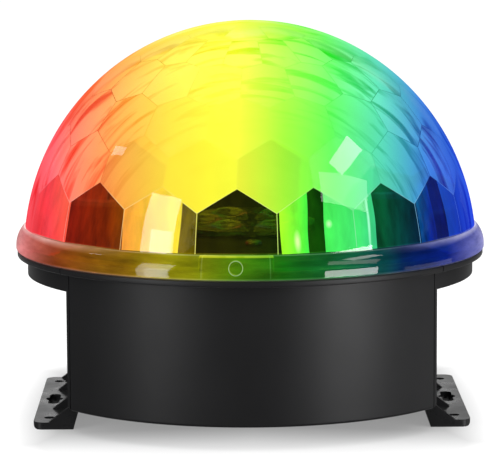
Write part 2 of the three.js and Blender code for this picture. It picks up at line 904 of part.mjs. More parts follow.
function domeShell() {
  const startAngle = Math.asin((ringTop - domeCentreZ) / domeRise);
  const domeArc = arc(0, domeCentreZ, domeR, domeRise, startAngle, Math.PI / 2, domeSteps);
  const bandTop = ringBottom + ringBand;
  const crownEnd = Math.asin((ringHeight - ringBand) / crownRise);
  const crown = arc(ringBoreR, bandTop, ringWidth, crownRise, 0, crownEnd, crownSteps);
  domeArc[domeArc.length - 1] = [0, domeCentreZ + domeRise];
  const outer = turned([[0, ringBottom], [ringR, ringBottom], ...crown, ...domeArc], domeFacets);
  const pocketHalf = Math.asin(tabWidth / 2 / skirtR);
  const pockets = tabPlaces().map(({ angle }) => (
    ringPart(skirtR - tabPocketDepth, skirtR, ringBottom + blend, ringTop - tabTopGap,
      angle - pocketHalf, angle + pocketHalf)
  ));
  const recesses = tabPlaces().map(({ angle }) => (
    stud(studR, skirtR - blend, skirtR + studReach, angle)
  ));
  return cut(outer, [
    facetedHollow().add(bar(ringBoreR, ringBottom - cutOver, ringTop + blend, 0, 0, fine)),
    bar(skirtR, ringBottom - cutOver, seatZ, 0, 0, fine),
    ...pockets,
    ...recesses,
  ]);
}

// Rollers and pins

function guideRoller() {
  const bore = pinR + fitGap;
  return turned([
    [bore, rollerBottom], [rollerR, rollerBottom], [rollerR, grooveBottom], [grooveR, grooveBottom],
    [grooveR, grooveTop], [rollerR, grooveTop], [rollerR, rollerTop], [bore, rollerTop],
    [bore, rollerBottom],
  ], coarse);
}

function rollerPin() {
  const low = rollerSeatTop - pinDepth + fitGap;
  const headBottom = rollerTop + fitGap;
  const headTop = headBottom + pinHeadHeight;
  return turned([[0, low], [pinR, low], [pinR, headBottom], [pinHeadR, headBottom],
    [pinHeadR, headTop], [0, headTop]], coarse);
}

// Deck

function deckPlate() {
  const plate = turned([[deckHoleR, deckBottom], [deckR, deckBottom],
    [deckR, deckTop - deckEdge], [deckR - deckEdge, deckTop],
    [deckHoleR, deckTop], [deckHoleR, deckBottom]], plain);
  return cut(plate, deckPostPlaces.map(({ x, y }) => (
    bar(clearHoleR, deckBottom - cutOver, deckTop + cutOver, x, y, least)
  )));
}

// Lamp

function heatSink() {
  const plate = bar(sinkR, sinkTop - sinkPlate, sinkTop, 0, 0, plain / 2);
  const fins = [];
  for (let i = 0; i < finCount; i += 1) {
    const x = (i - (finCount - 1) / 2) * finPitch;
    fins.push(box(x - finThickness / 2, x + finThickness / 2, -sinkR, sinkR,
      chassisTop + fitGap, sinkTop - sinkPlate + blend));
  }
  const round = bar(sinkR, chassisTop, sinkTop, 0, 0, plain / 2);
  return plate.add(join(fins).intersect(round));
}

function emitter() {
  const base = box(-ledBase / 2, ledBase / 2, -ledBase / 2, ledBase / 2, 0, ledBaseHeight);
  const cap = [[0, ledBaseHeight - blend], [ledLensR, ledBaseHeight - blend],
    ...arc(0, ledBaseHeight, ledLensR, ledLensR, 0, Math.PI / 2, edgeSteps)];
  cap[cap.length - 1][0] = 0;
  return base.add(turned(cap, least));
}

const ledPlaces = circlePlaces(ledCount, ledCircleR, 0);

// A black cap over the board with a round window over each emitter
function lensHolder() {
  const innerR = holderR - holderWall;
  const cap = turned([[innerR, boardBottom], [holderR, boardBottom], [holderR, holderTop],
    [0, holderTop], [0, holderTop - holderPlate], [innerR, holderTop - holderPlate],
    [innerR, boardBottom]], plain / 2);
  return cut(cap, ledPlaces.map(({ x, y }) => (
    bar(lensR, holderTop - holderPlate - cutOver, holderTop + cutOver, x, y, coarse)
  )));
}

function lensArray() {
  const low = holderTop + fitGap;
  const plate = bar(holderR, low, low + lensPlate, 0, 0, plain / 2);
  const capR = (lensR * lensR + lensRise * lensRise) / (2 * lensRise);
  const capAngle = Math.asin(lensR / capR);
  const centre = low + lensPlate + lensRise - capR;
  const profile = [[0, low + lensPlate - blend], [lensR, low + lensPlate - blend],
    ...arc(0, centre, capR, capR, Math.PI / 2 - capAngle, Math.PI / 2, edgeSteps)];
  profile[profile.length - 1][0] = 0;
  const bulge = turned(profile, coarse);
  const bulges = ledPlaces.map(({ x, y }) => bulge.translate([x, y, 0]));
  return join([plate, ...bulges]);
}

// Motor

function gearMotor() {
  const canBottom = motorTop - gearboxHeight - motorHeight;
  const can = bar(motorR, canBottom, motorTop - gearboxHeight + blend, 0, motorY);
  const gearbox = bar(motorR, motorTop - gearboxHeight, motorTop, 0, motorY)
    .add(bar(gearboxNoseR, motorTop - gearboxHeight, motorTop, 0, pinionY, coarse));
  const ears = motorEars.map(([x, y]) => join([
    bar(earR, motorTop - earThickness, motorTop, x, y, coarse),
    box(Math.min(0, x), Math.max(0, x), y - earR, y + earR, motorTop - earThickness, motorTop),
  ]));
  return cut(join([can, gearbox, ...ears]), [
    bar(shaftR + fitGap, motorTop - shaftBottomDepth - fitGap, motorTop + cutOver, 0, pinionY, coarse),
    ...motorEars.map(([x, y]) => bar(smallHoleR, motorTop - earThickness - cutOver,
      motorTop + cutOver, x, y, coarse)),
  ]);
}

// Controls

function controlPanel() {
  const plate = box(-recessX + fitGap, recessX - fitGap, plateBack, recessY,
    recessBottom + fitGap, recessTop - fitGap);
  const low = plateBack - cutOver;
  const high = recessY + cutOver;
  const halfW = switchWidth / 2 + fitGap;
  const halfH = switchHeight / 2 + fitGap;
  return cut(plate, [
    barY(inletR + fitGap, low, high, inletX, recessZ, coarse),
    box(switchX - halfW, switchX + halfW, low, high, recessZ - halfH, recessZ + halfH),
    barY(buttonR + fitGap, low, high, buttonX, recessZ, coarse),
    barY(micHoleR, low, high, micX, recessZ, coarse),
    barY(potBushR + fitGap, low, high, knobX, recessZ, coarse),
    ...[-1, 1].map((side) => barY(smallHoleR, low, high, side * plateScrewX, recessZ, coarse)),
  ]);
}

function powerInlet() {
  const flange = barY(inletFlangeR, recessY + fitGap, inletFace, inletX, recessZ);
  const barrel = barY(inletR, inletFace - inletLength, inletFace - blend, inletX, recessZ, coarse);
  return cut(flange.add(barrel), [
    barY(inletBoreR, inletFace - inletBoreDepth, inletFace + cutOver, inletX, recessZ, coarse),
  ]);
}

function inletPin() {
  return barY(inletPinR, inletFace - inletBoreDepth + fitGap, inletFace - fitGap,
    inletX, recessZ, coarse);
}

// The switch with the well that its rocker hangs in
function switchBody() {
  const bezel = box(-bezelWidth / 2, bezelWidth / 2, bezelBack, bezelBack + bezelThickness,
    -bezelHeight / 2, bezelHeight / 2);
  const back = bezelBack - switchDepth;
  const body = box(-switchWidth / 2, switchWidth / 2, back, bezelBack + blend,
    -switchHeight / 2, switchHeight / 2);
  const terminals = [-1, 1].map((side) => {
    const z = (side * terminalPitch) / 2;
    return box(-terminalWidth / 2, terminalWidth / 2, back - terminalLength, back + blend,
      z - terminalThickness / 2, z + terminalThickness / 2);
  });
  const halfX = rockerWidth / 2 + fitGap;
  const well = box(-halfX, halfX, bezelBack - wellDepth, bezelBack + bezelThickness + cutOver,
    -wellHeight / 2, wellHeight / 2);
  return cut(join([bezel, body, ...terminals]), [
    well,
    barX(pivotR + fitGap, bezelWidth, pivotY, 0),
  ]).translate([switchX, 0, recessZ]);
}

// The rocker about its pivot, made level
function rocker() {
  const half = rockerHeight / 2;
  const skirt = rockerRise - rockerSkirt;
  const profile = outline([
    [rockerRise, -half],
    [rockerRise - rockerDish, 0],
    [rockerRise, half],
    [skirt, half],
    [-rockerDepth, rockerRoot / 2],
    [-rockerDepth, -rockerRoot / 2],
    [skirt, -half],
  ]);
  const geometry = new THREE.ExtrudeGeometry(profile, { depth: rockerWidth, bevelEnabled: false });
  geometry.rotateY(Math.PI / 2);
  geometry.rotateX(Math.PI / 2);
  geometry.translate(-rockerWidth / 2, 0, 0);
  return solid(geometry).add(barX(pivotR, rockerWidth + 2 * pivotReach, 0, 0));
}

// The button, with a flange behind the plate and a stem that sits in the push switch
function modeButton() {
  const front = recessY + buttonProud;
  const flangeBack = partFront - buttonFlangeHeight;
  const stemEnd = tactTop - stemSeat;
  const profile = [
    [0, stemEnd], [stemR, stemEnd], [stemR, flangeBack], [buttonR + buttonFlangeReach, flangeBack],
    [buttonR + buttonFlangeReach, partFront], [buttonR, partFront], [buttonR, front - buttonEdge],
    [buttonR - buttonEdge, front], [0, front],
  ];
  const points = profile.map(([radius, y]) => new THREE.Vector2(radius, y));
  const geometry = new THREE.LatheGeometry(points, coarse);
  geometry.translate(buttonX, 0, recessZ);
  return solid(geometry);
}

function pushSwitch() {
  const half = tactSize / 2;
  const seat = tactTop - stemSeat - buttonTravel - fitGap;
  return box(buttonX - half, buttonX + half, partBack, tactTop, recessZ - half, recessZ + half)
    .subtract(barY(stemR + fitGap, seat, tactTop + cutOver, buttonX, recessZ, coarse));
}

function soundSensor() {
  return barY(micR, partBack, partFront, micX, recessZ, coarse);
}

function soundControl() {
  const half = potSize / 2;
  const body = box(knobX - half, knobX + half, partBack, partFront, recessZ - half, recessZ + half);
  const bush = barY(potBushR, partFront - blend, recessY + fitGap, knobX, recessZ, coarse);
  return body.add(bush).subtract(
    barY(knobShaftR + fitGap, partBack + blend, recessY + cutOver, knobX, recessZ, coarse),
  );
}

function knobShaft() {
  const front = recessY + seamGap + knobHeight - knobCap - fitGap;
  return barY(knobShaftR, partBack + blend + fitGap, front, 0, 0, coarse);
}

function sensitivityKnob() {
  const back = recessY + seamGap;
  const front = back + knobHeight;
  const body = barY(knobR, back, front, 0, 0);
  const flutes = circlePlaces(knobFlutes, knobR, 0).slice(1).map(({ x, y }) => (
    barY(fluteR, back - cutOver, front + cutOver, y, x, least)
  ));
  const pointer = box(-pointerWidth / 2, pointerWidth / 2, front - pointerDepth, front + cutOver,
    pointerStart, knobR + cutOver);
  const bore = barY(knobShaftR + fitGap, back - cutOver, front - knobCap, 0, 0, coarse);
  return cut(body, [...flutes, pointer, bore]);
}

function controlBoard() {
  const half = controlBoardHeight / 2;
  return box(controlBoardX, controlBoardX + controlBoardLength, boardFace - boardThickness,
    boardFace, recessZ - half, recessZ + half);
}

function driverCorners() {
  const x = driverLength / 2 - standoffR;
  const y = driverWidth / 2 - standoffR;
  return [[x, y], [-x, y], [x, -y], [-x, -y]];
}

function driverBoard() {
  const low = coverTop + standoffHeight + fitGap;
  const top = low + boardThickness;
  const board = box(-driverLength / 2, driverLength / 2, -driverWidth / 2, driverWidth / 2, low, top);
  const plugX = driverPlugLength / 2;
  const plug = box(-plugX, plugX, driverPlugY - driverPlugWidth / 2, driverPlugY + driverPlugWidth / 2,
    top - blend, top + driverPlugHeight);
  return join([
    board,
    bar(driverCapR, top - blend, top + driverCapHeight, driverCapX, 0, coarse),
    bar(driverCoilR, top - blend, top + driverCoilHeight, driverCoilX, 0, coarse),
    plug,
  ]);
}

// Assembly

add('housing', housing(), black);
add('front_panel', frontPanel(), black);
add('bottom_cover', bottomCover(), black);

const footGeometry = toGeometry(foot());
add('right_foot', footGeometry, black);
add('left_foot', footGeometry, black).rotation.z = Math.PI;

const mainScrew = (length) => screw(screwHeadR, screwHeadHeight, screwR, length);
const smallScrew = (length) => screw(smallHeadR, smallHeadHeight, smallScrewR, length);
addScrews('foot_screw', mainScrew(footScrewLength), housePosts,
  footFlangeBottom - fitGap, false);
addScrews('cover_screw', mainScrew(coverScrewLength), panelPosts, headSeat - fitGap, false);

add('chassis_plate', chassisPlate(), black);
addScrews('chassis_screw', mainScrew(chassisScrewLength), chassisScrewPlaces,
  chassisTop + fitGap, true);

add('gear_motor', gearMotor(), steel);
addScrews('motor_screw', smallScrew(motorScrewLength), motorEars, chassisTop + fitGap, true);
add('motor_shaft', bar(shaftR, motorTop - shaftBottomDepth, chassisTop + shaftTopReach,
  0, pinionY, coarse), steel);
add('drive_pinion', drivePinion(), ivory).position.set(0, pinionY, 0);

const rollerGeometry = toGeometry(guideRoller());
const pinGeometry = toGeometry(rollerPin());
rollerPlaces.forEach(({ x, y }, i) => {
  add(`guide_roller_${i + 1}`, rollerGeometry, ivory).position.set(x, y, 0);
  add(`roller_pin_${i + 1}`, pinGeometry, steel).position.set(x, y, 0);
});

add('deck_plate', deckPlate(), deepBlack);
addScrews('deck_screw', mainScrew(deckScrewLength), deckPostPlaces.map(({ x, y }) => [x, y]),
  deckTop + fitGap, true);

add('heat_sink', heatSink(), aluminium);
add('led_board', bar(ledBoardR, boardBottom, boardTop, 0, 0, plain / 2), boardWhite);
const emitterGeometry = toGeometry(emitter());
emitters.forEach(([name, color], i) => {
  const { x, y } = ledPlaces[i];
  const piece = add(name, emitterGeometry, { color, roughness: 0.2, metalness: 0 });
  piece.position.set(x, y, boardTop + fitGap);
});
add('lens_holder', lensHolder(), deepBlack);
add('lens_array', lensArray(), clear);

add('dome_carrier', domeCarrier(), deepBlack);
add('dome_shell', domeShell(), clear);

add('control_panel', controlPanel(), black);
const plateScrewGeometry = toGeometry(smallScrew(panelScrewLength));
[-1, 1].forEach((side, i) => {
  const piece = add(`plate_screw_${i + 1}`, plateScrewGeometry, steel);
  piece.position.set(side * plateScrewX, recessY + fitGap, recessZ);
  piece.rotation.x = Math.PI / 2;
});
add('power_inlet', powerInlet(), gloss);
add('inlet_pin', inletPin(), brass);
add('switch_body', switchBody(), gloss);
const rockerPiece = add('power_rocker', rocker(), gloss);
rockerPiece.position.set(switchX, pivotY, recessZ);
rockerPiece.rotation.x = rockerTilt;
add('mode_button', modeButton(), pale);
add('push_switch', pushSwitch(), gloss);
add('sound_sensor', soundSensor(), aluminium);
add('sound_control', soundControl(), gloss);
add('knob_shaft', knobShaft(), steel).position.set(knobX, 0, recessZ);
add('sensitivity_knob', sensitivityKnob(), black).position.set(knobX, 0, recessZ);
add('control_board', controlBoard(), boardGreen);
add('driver_board', driverBoard(), boardGreen);

export default model;
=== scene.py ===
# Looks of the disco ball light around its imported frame. Metres, +Z up, front to -Y.
import math

import bmesh
import bpy
from mathutils import Matrix, Quaternion, Vector


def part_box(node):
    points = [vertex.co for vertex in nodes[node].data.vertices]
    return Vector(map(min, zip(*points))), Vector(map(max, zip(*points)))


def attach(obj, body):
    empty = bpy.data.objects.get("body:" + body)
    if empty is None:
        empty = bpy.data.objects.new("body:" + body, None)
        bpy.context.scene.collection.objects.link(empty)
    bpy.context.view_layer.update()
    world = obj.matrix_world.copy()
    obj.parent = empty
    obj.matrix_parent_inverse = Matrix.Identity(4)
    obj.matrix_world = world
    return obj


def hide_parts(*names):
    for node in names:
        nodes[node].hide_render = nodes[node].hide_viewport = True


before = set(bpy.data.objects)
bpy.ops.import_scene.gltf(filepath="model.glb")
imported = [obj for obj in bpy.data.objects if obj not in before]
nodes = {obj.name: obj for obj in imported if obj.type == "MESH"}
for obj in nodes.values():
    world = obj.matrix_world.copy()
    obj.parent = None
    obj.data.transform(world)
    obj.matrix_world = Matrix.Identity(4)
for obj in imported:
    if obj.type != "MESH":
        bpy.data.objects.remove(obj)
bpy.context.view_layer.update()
scene = bpy.context.scene
MM = 0.001
FRONT = -math.pi / 2

# Main sizes in millimetres, the same as in the CAD source
DRUM_R, FLAT_X, WALL, SEAM, BLEND = 95.2, 76.0, 2.5, 0.5, 0.5
DRUM_BOTTOM, RIM_BOTTOM, RIM_TOP, RIM_R = 9.7, 67.0, 69.5, 99.5
DRUM_EDGE, FLAT_EDGE, RIM_EDGE = 1.2, 2.4, 0.5
LEDGE_BOTTOM, LEDGE_TOP = 59.2, 61.7
PANEL_ANGLE = math.radians(51.6)
BORE_R, BORE_X = DRUM_R - WALL, FLAT_X - WALL
POST_R, POST_HOLE_R, POST_BOTTOM, POST_TOP = 4.5, 1.8, 13.0, 55.7
POST_X, POST_Y, PANEL_POST_R, PANEL_POST_ANGLE = 69.5, 28.0, 88.7, math.radians(25)
LAP_R, LAP_THICKNESS, LAP_WIDTH = 92.2, 2.3, 8.0
RECESS_X, RECESS_BOTTOM, RECESS_TOP, RECESS_FRONT, RECESS_BACK = 38.0, 22.0, 50.0, 81.2, 79.0
LIP_WIDTH, LIP_HEIGHT, PLATE_SCREW_X, PLATE_HOLE_R = 5.0, 3.0, 35.2, 1.55
RING_BOTTOM, RING_TOP, RING_R, RING_BORE_R = 69.9, 79.5, 100.0, 90.5
RING_BAND, RING_EDGE, RING_EDGE_BEND = 1.5, 0.5, 0.15
CROWN_RISE, SKIRT_R, SEAT_Z = 10.5, 96.5, 73.0
DOME_R, DOME_RISE, DOME_Z, FACET_R = 96.7, 98.4, 67.6, 93.4
DOME_TURN = math.radians(-3.9)
# Rows of facets: how far each looks up in degrees, its count, and its turn as a share of one facet
FACET_ROWS = [(13.0, 18, 0.0), (27.3, 18, 0.5), (40.0, 18, 0.0), (53.6, 18, 0.5),
              (66.0, 18, 0.0), (78.0, 9, 0.0), (90.0, 1, 0.0)]
LOW_ROW_END = 20.0
TAB_COUNT, TAB_WIDTH, TAB_DEPTH, TAB_TOP = 3, 29.7, 3.2, 78.3
STUD_R, STUD_REACH, STUD_Z = 3.0, 0.8, 74.7

# Half the width in millimetres of the ridges between the facets
RIDGE_REACH = 0.13
# How far above level the dome is mostly seen from
LEAN = math.radians(8)


# Node materials

class Nodes:
    """A node tree with short ways to build what feeds its shaders. Values are sockets or plain numbers."""

    def __init__(self, tree):
        self.tree = tree

    def node(self, kind, **values):
        made = self.tree.nodes.new(kind)
        for key, value in values.items():
            setattr(made, key, value)
        return made

    def link(self, value, socket):
        if isinstance(value, (int, float, tuple)):
            socket.default_value = value
        else:
            self.tree.links.new(value, socket)

    def coords(self, kind="Object"):
        return self.node("ShaderNodeTexCoord").outputs[kind]

    def axes(self, vector=None):
        """The X, Y and Z of a vector, or else of the place on the object."""
        split = self.node("ShaderNodeSeparateXYZ")
        self.link(self.coords() if vector is None else vector, split.inputs["Vector"])
        return split.outputs

    def math(self, operation, first, second=0.0):
        made = self.node("ShaderNodeMath", operation=operation)
        self.link(first, made.inputs[0])
        self.link(second, made.inputs[1])
        return made.outputs[0]

    def times(self, first, *others):
        for other in others:
            first = self.math("MULTIPLY", first, other)
        return first

    def highest(self, first, *others):
        for other in others:
            first = self.math("MAXIMUM", first, other)
        return first

    def absolute(self, value):
        return self.math("ABSOLUTE", value)

    def distance(self, first, second):
        squares = [self.math("POWER", value, 2.0) for value in (first, second)]
        return self.math("SQRT", self.math("ADD", *squares))

    def noise(self, scale, detail=4.0, rough=0.55, stretch=None, vector=None, distortion=0.0):
        vector = self.coords() if vector is None else vector
        if stretch:
            mapping = self.node("ShaderNodeMapping")
            mapping.inputs["Scale"].default_value = stretch
            self.link(vector, mapping.inputs["Vector"])
            vector = mapping.outputs["Vector"]
        made = self.node("ShaderNodeTexNoise")
        made.inputs["Scale"].default_value = scale
        made.inputs["Detail"].default_value = detail
        made.inputs["Roughness"].default_value = rough
        made.inputs["Distortion"].default_value = distortion
        self.link(vector, made.inputs["Vector"])
        return made.outputs["Fac"]

    def spread(self, value, low, high, start=0.3, end=0.7):
        """Low at the start, high at the end, even between them and held beyond; noise fills 0.3 to 0.7."""
        made = self.node("ShaderNodeMapRange")
        for key, amount in (("From Min", start), ("From Max", end), ("To Min", low), ("To Max", high)):
            made.inputs[key].default_value = amount
        self.link(value, made.inputs["Value"])
        return made.outputs["Result"]

    def rise(self, value, start, end):
        """0 at the start, 1 at the end."""
        return self.spread(value, 0.0, 1.0, start, end)

    def between(self, share, low, high):
        """Low where the share is 0, high where it is 1."""
        return self.spread(share, low, high, 0.0, 1.0)

    def ramp(self, value, stops, mode="LINEAR"):
        """Each stop is a place from 0 to 1 with a colour, or with a number for a grey."""
        made = self.node("ShaderNodeValToRGB")
        made.color_ramp.interpolation = mode
        while len(made.color_ramp.elements) < len(stops):
            made.color_ramp.elements.new(0.5)
        for element, (place, colour) in zip(made.color_ramp.elements, stops):
            element.position = place
            element.color = (*(colour if isinstance(colour, tuple) else (colour,) * 3), 1.0)
        self.link(value, made.inputs["Fac"])
        return made.outputs["Color"]

    def mixed(self, share, first, second):
        mix = self.node("ShaderNodeMix", data_type="RGBA")
        self.link(share, mix.inputs["Factor"])
        self.link(first, mix.inputs["A"])
        self.link(second, mix.inputs["B"])
        return mix.outputs["Result"]


class Mat(Nodes):
    """A node material with one Principled shader."""

    def __init__(self, name):
        self.mat = bpy.data.materials.new(name)
        self.mat.use_nodes = True
        super().__init__(self.mat.node_tree)
        self.bsdf = self.tree.nodes["Principled BSDF"]
        self.out = self.tree.nodes["Material Output"]

    def set(self, **values):
        for key, value in values.items():
            self.bsdf.inputs[key.replace("_", " ")].default_value = value

    def feed(self, key, value):
        self.link(value, self.bsdf.inputs[key])

    def bump(self, height, strength, distance, edge=0.0):
        """Relief from a height; edge is the radius to which sharp edges are shaded round."""
        made = self.node("ShaderNodeBump")
        made.inputs["Strength"].default_value = strength
        made.inputs["Distance"].default_value = distance
        self.link(height, made.inputs["Height"])
        if edge:
            rounded = self.node("ShaderNodeBevel", samples=4)
            rounded.inputs["Radius"].default_value = edge
            self.link(rounded.outputs["Normal"], made.inputs["Normal"])
        self.feed("Normal", made.outputs["Normal"])

    def glow_over(self, share, colour, strength):
        """Shows the Principled shader with this share of it replaced by glow."""
        glow = self.node("ShaderNodeEmission")
        self.link(colour, glow.inputs["Color"])
        self.link(strength, glow.inputs["Strength"])
        mix = self.node("ShaderNodeMixShader")
        self.link(share, mix.inputs["Fac"])
        self.link(self.bsdf.outputs["BSDF"], mix.inputs[1])
        self.link(glow.outputs["Emission"], mix.inputs[2])
        self.link(mix.outputs["Shader"], self.out.inputs["Surface"])
        return self.mat


def plastic_nodes(name, colour, rough=0.45, grain=2200.0, depth=0.00003, vary=0.25, spec=0.5, edge=0.0,
                  wear=0.06, sheen=0.0):
    """Moulded plastic: fine spark-eroded grain, faint flow marks and handling wear in gloss and tone."""
    m = Mat(name)
    m.set(Specular_IOR_Level=spec, Sheen_Weight=sheen, Sheen_Roughness=0.3)
    low = tuple(c * (1 - vary) for c in colour)
    high = tuple(min(1.0, c * (1 + vary)) for c in colour)
    m.feed("Base Color", m.ramp(m.noise(28.0, 5.0, 0.6), [(0.3, low), (0.7, high)]))
    m.feed("Roughness", m.spread(m.noise(90.0, 6.0, 0.65), rough - wear, rough + wear))
    m.bump(m.noise(grain, 2.0, 0.5), 0.35, depth, edge)
    return m


def plastic(name, colour, rough, **values):
    return plastic_nodes(name, colour, rough, **values).mat


def foot_plastic(name):
    """The feet's plastic: the flat tops are smooth, the sides and slots keep the mould's dull grain."""
    m = plastic_nodes(name, (0.0105, 0.0105, 0.0110), 0.30, spec=0.9, edge=0.0003)
    facing = m.axes(m.node("ShaderNodeNewGeometry").outputs["True Normal"])
    m.feed("Specular IOR Level", m.spread(facing["Z"], 0.12, 0.9, 0.6, 0.9))
    return m.mat


def metal(name, colour, rough=0.3, stretch=(1, 1, 1), scale=900.0, depth=0.00002):
    """Metal with a brushed or plated grain and small changes in tone."""
    m = Mat(name)
    m.set(Metallic=1.0)
    low = tuple(c * 0.82 for c in colour)
    m.feed("Base Color", m.ramp(m.noise(60.0, 5.0, 0.6), [(0.3, low), (0.7, colour)]))
    grain = m.noise(scale, 3.0, 0.6, stretch)
    m.feed("Roughness", m.spread(grain, rough - 0.08, rough + 0.12))
    m.bump(grain, 0.25, depth, 0.0002)
    return m.mat


def clear_plain(name):
    """Clear plastic that carries none of the lamp's light."""
    m = Mat(name)
    m.set(Transmission_Weight=1.0, IOR=1.49, Base_Color=(0.96, 0.98, 1.0, 1.0))
    m.feed("Roughness", m.spread(m.noise(80.0), 0.02, 0.08))
    m.bump(m.noise(300.0, 3.0), 0.05, 0.0002)
    return m.mat


def emitter(name, colour):
    """A lit emitter with a paler middle tone."""
    m = Mat(name)
    m.set(Emission_Strength=0.5, Roughness=0.2)
    pale = tuple(min(1.0, c * 0.6 + 0.4) for c in colour)
    tone = m.ramp(m.noise(700.0, 3.0), [(0.35, colour), (0.7, pale)])
    m.feed("Emission Color", tone)
    m.feed("Base Color", tone)
    return m.mat


def board(name, colour, trace):
    """Circuit board: solder mask over faint copper runs."""
    m = Mat(name)
    m.set(Roughness=0.35)
    brick = m.node("ShaderNodeTexBrick")
    brick.inputs["Scale"].default_value = 260.0
    brick.inputs["Mortar Size"].default_value = 0.035
    brick.inputs["Color1"].default_value = (*colour, 1)
    brick.inputs["Color2"].default_value = (*[c * 0.8 for c in colour], 1)
    brick.inputs["Mortar"].default_value = (*trace, 1)
    m.link(m.coords(), brick.inputs["Vector"])
    m.feed("Base Color", brick.outputs["Color"])
    m.bump(brick.outputs["Fac"], 0.2, 0.00004)
    return m.mat


# The lamp's light in the clear plastic

# Its hues from the left of the object to its right
HUES = [
    (0.00, (0.86, 0.015, 0.03)), (0.09, (1.0, 0.09, 0.115)), (0.21, (0.97, 0.29, 0.06)),
    (0.34, (0.98, 0.765, 0.05)), (0.42, (0.98, 0.94, 0.045)), (0.475, (0.93, 0.98, 0.05)),
    (0.565, (0.4, 0.98, 0.045)), (0.66, (0.11, 0.93, 0.09)), (0.76, (0.075, 0.67, 0.39)),
    (0.86, (0.025, 0.15, 0.62)), (1.00, (0.004, 0.01, 0.7)),
]

# How bright the lowest row of facets is, by the angle from the front at which each band begins.
# Bands over 0.9 are painted lit bands; most others are painted shade, the dark inside seen through deeply
# tinted plastic.
BANDS = [(-180, 0.1), (-174, 1.0), (-154, 0.1), (-133.9, 1.0), (-113.9, 0.2), (-93.9, 1.15),
         (-53.9, 0.21), (-33.9, 1.12), (-18.3, 0.17), (-15.3, 0.012), (6.1, 1.16), (13.4, 0.06),
         (18.2, 1.16), (31, 0.17), (46.1, 0.75), (53, 0.3), (58, 0.95), (66.1, 1.1), (86.1, 0.2),
         (106, 1.0), (126, 0.1), (146, 1.0), (166, 0.1)]

# Painted glints of the lamp in the lowest facets: angle from the front, height, half width and half height
PAINTED_GLINTS = [(11.3, 84.0, 1.7, 5.0), (19.6, 90.3, 1.6, 1.9), (30.3, 90.0, 0.9, 16.0)]

# Where the lowest facets take their hue from: their green sets in sooner beside the middle facet
LOW_PLACES = [(0.0, 0.0), (0.545, 0.545), (0.559, 0.56), (0.609, 0.668), (0.66, 0.685),
              (0.712, 0.705), (0.77, 0.766), (1.0, 1.0)]

# Where the ring takes its hue from: its green lies nearer to the middle than the facets' does
RING_PLACES = [(0.0, 0.05), (0.08, 0.21), (0.15, 0.255), (0.2, 0.29), (0.25, 0.305), (0.36, 0.455),
               (0.56, 0.66), (0.62, 0.7), (0.77, 0.815), (0.83, 0.9), (1.0, 1.0)]

# How strongly the ring glows along the same way, as a share of its strongest
RING_GLOW = [(0.0, 0.75), (0.08, 0.5), (0.15, 0.7), (0.25, 0.92), (0.35, 0.92), (0.6, 0.46),
             (0.8, 0.5), (0.9, 0.95), (1.0, 1.0)]

# Pale tint of the tab marks and of the painted highlights on the ring
HIGHLIGHT_AND_MARK_TINT = (1.0, 0.97, 0.93, 1.0)
# The noise of the streaks: how far it is drawn out along the outline, and how closely it is packed inwards
STREAK_LENGTH, STREAK_PACKING, STREAK_SCALE = 0.22, 38.0, 11.0


def place_across(m):
    """0 at the left of the ring, 1 at its right."""
    return m.rise(m.axes()["X"], -RING_R * MM, RING_R * MM)


def hues(m, power=1.0, places=None):
    """The lamp's hue here. A power over 1 makes it deeper, under 1 paler; places shift it along."""
    place = place_across(m)
    if places:
        place = m.ramp(place, places)
    return m.ramp(place, [(stop, tuple(c ** power for c in colour)) for stop, colour in HUES])


def clear_body(m, tint, rough_high, wave, depth, rough_low=0.0):
    """Polished clear plastic with this tint."""
    m.set(Transmission_Weight=1.0, IOR=1.49)
    m.feed("Base Color", tint)
    m.feed("Roughness", m.spread(m.noise(45.0, 5.0, 0.6), rough_low, rough_high))
    m.bump(m.noise(wave, 3.0, 0.5), 0.06, depth)


def slanting(m, start, end):
    """0 where the clear skin is seen square on, 1 where it is seen at a slant."""
    weight = m.node("ShaderNodeLayerWeight")
    weight.inputs["Blend"].default_value = 0.5
    return m.rise(weight.outputs["Facing"], start, end)


def sideways(m, start=0.15, end=0.48):
    """0 on faces of the dome that look to its front or back, 1 on those that look to its sides or up."""
    facing = m.axes(m.coords("Normal"))
    level = m.times(m.absolute(facing["Y"]), math.cos(LEAN))
    rising = m.times(m.absolute(facing["Z"]), math.sin(LEAN))
    return m.rise(m.math("SUBTRACT", 1.0, m.math("ADD", level, rising)), start, end)


def facet_number(m):
    """A number that is the same all over one facet and differs from its neighbours'."""
    dot = m.node("ShaderNodeVectorMath", operation="DOT_PRODUCT")
    m.link(m.node("ShaderNodeNewGeometry").outputs["True Normal"], dot.inputs[0])
    dot.inputs[1].default_value = (7.3, 5.1, 3.7)
    return dot.outputs["Value"]


def painted_far_facet_streaks(m, number):
    """Painted streaks that stand for the far facets seen through the wall, along the dome's outline; the
    number sets each facet's apart.
    """
    axes = m.axes()
    up = m.math("SUBTRACT", axes["Z"], DOME_Z * MM)
    out = m.distance(axes["X"], up)
    swept = m.node("ShaderNodeCombineXYZ")
    m.link(m.times(m.math("ARCTAN2", up, axes["X"]), STREAK_LENGTH), swept.inputs["X"])
    m.link(m.times(out, STREAK_PACKING), swept.inputs["Y"])
    m.link(number, swept.inputs["Z"])
    lines = m.noise(STREAK_SCALE, 3.0, 0.5, vector=swept.outputs["Vector"], distortion=0.6)
    return m.times(m.rise(lines, 0.51, 0.66), m.between(sideways(m), 0.03, 1.0))


def dome_skin(name):
    """The dome's smooth outer face: clear, but deeply tinted and glowing where the way through is long,
    with painted streaks of the far facets.
    """
    m = Mat(name)
    clear_body(m, m.mixed(slanting(m, 0.45, 0.8), hues(m, 0.12), hues(m, 0.4)), 0.03, 70.0, 0.0004)
    # dark: the painted streaks of the far facets
    dark = painted_far_facet_streaks(m, 0.0)
    share = m.between(slanting(m, 0.66, 0.86), 0.0, 0.88)
    return m.glow_over(share, m.mixed(dark, hues(m, 0.8), hues(m, 1.4)), m.between(dark, 1.15, 1.05))


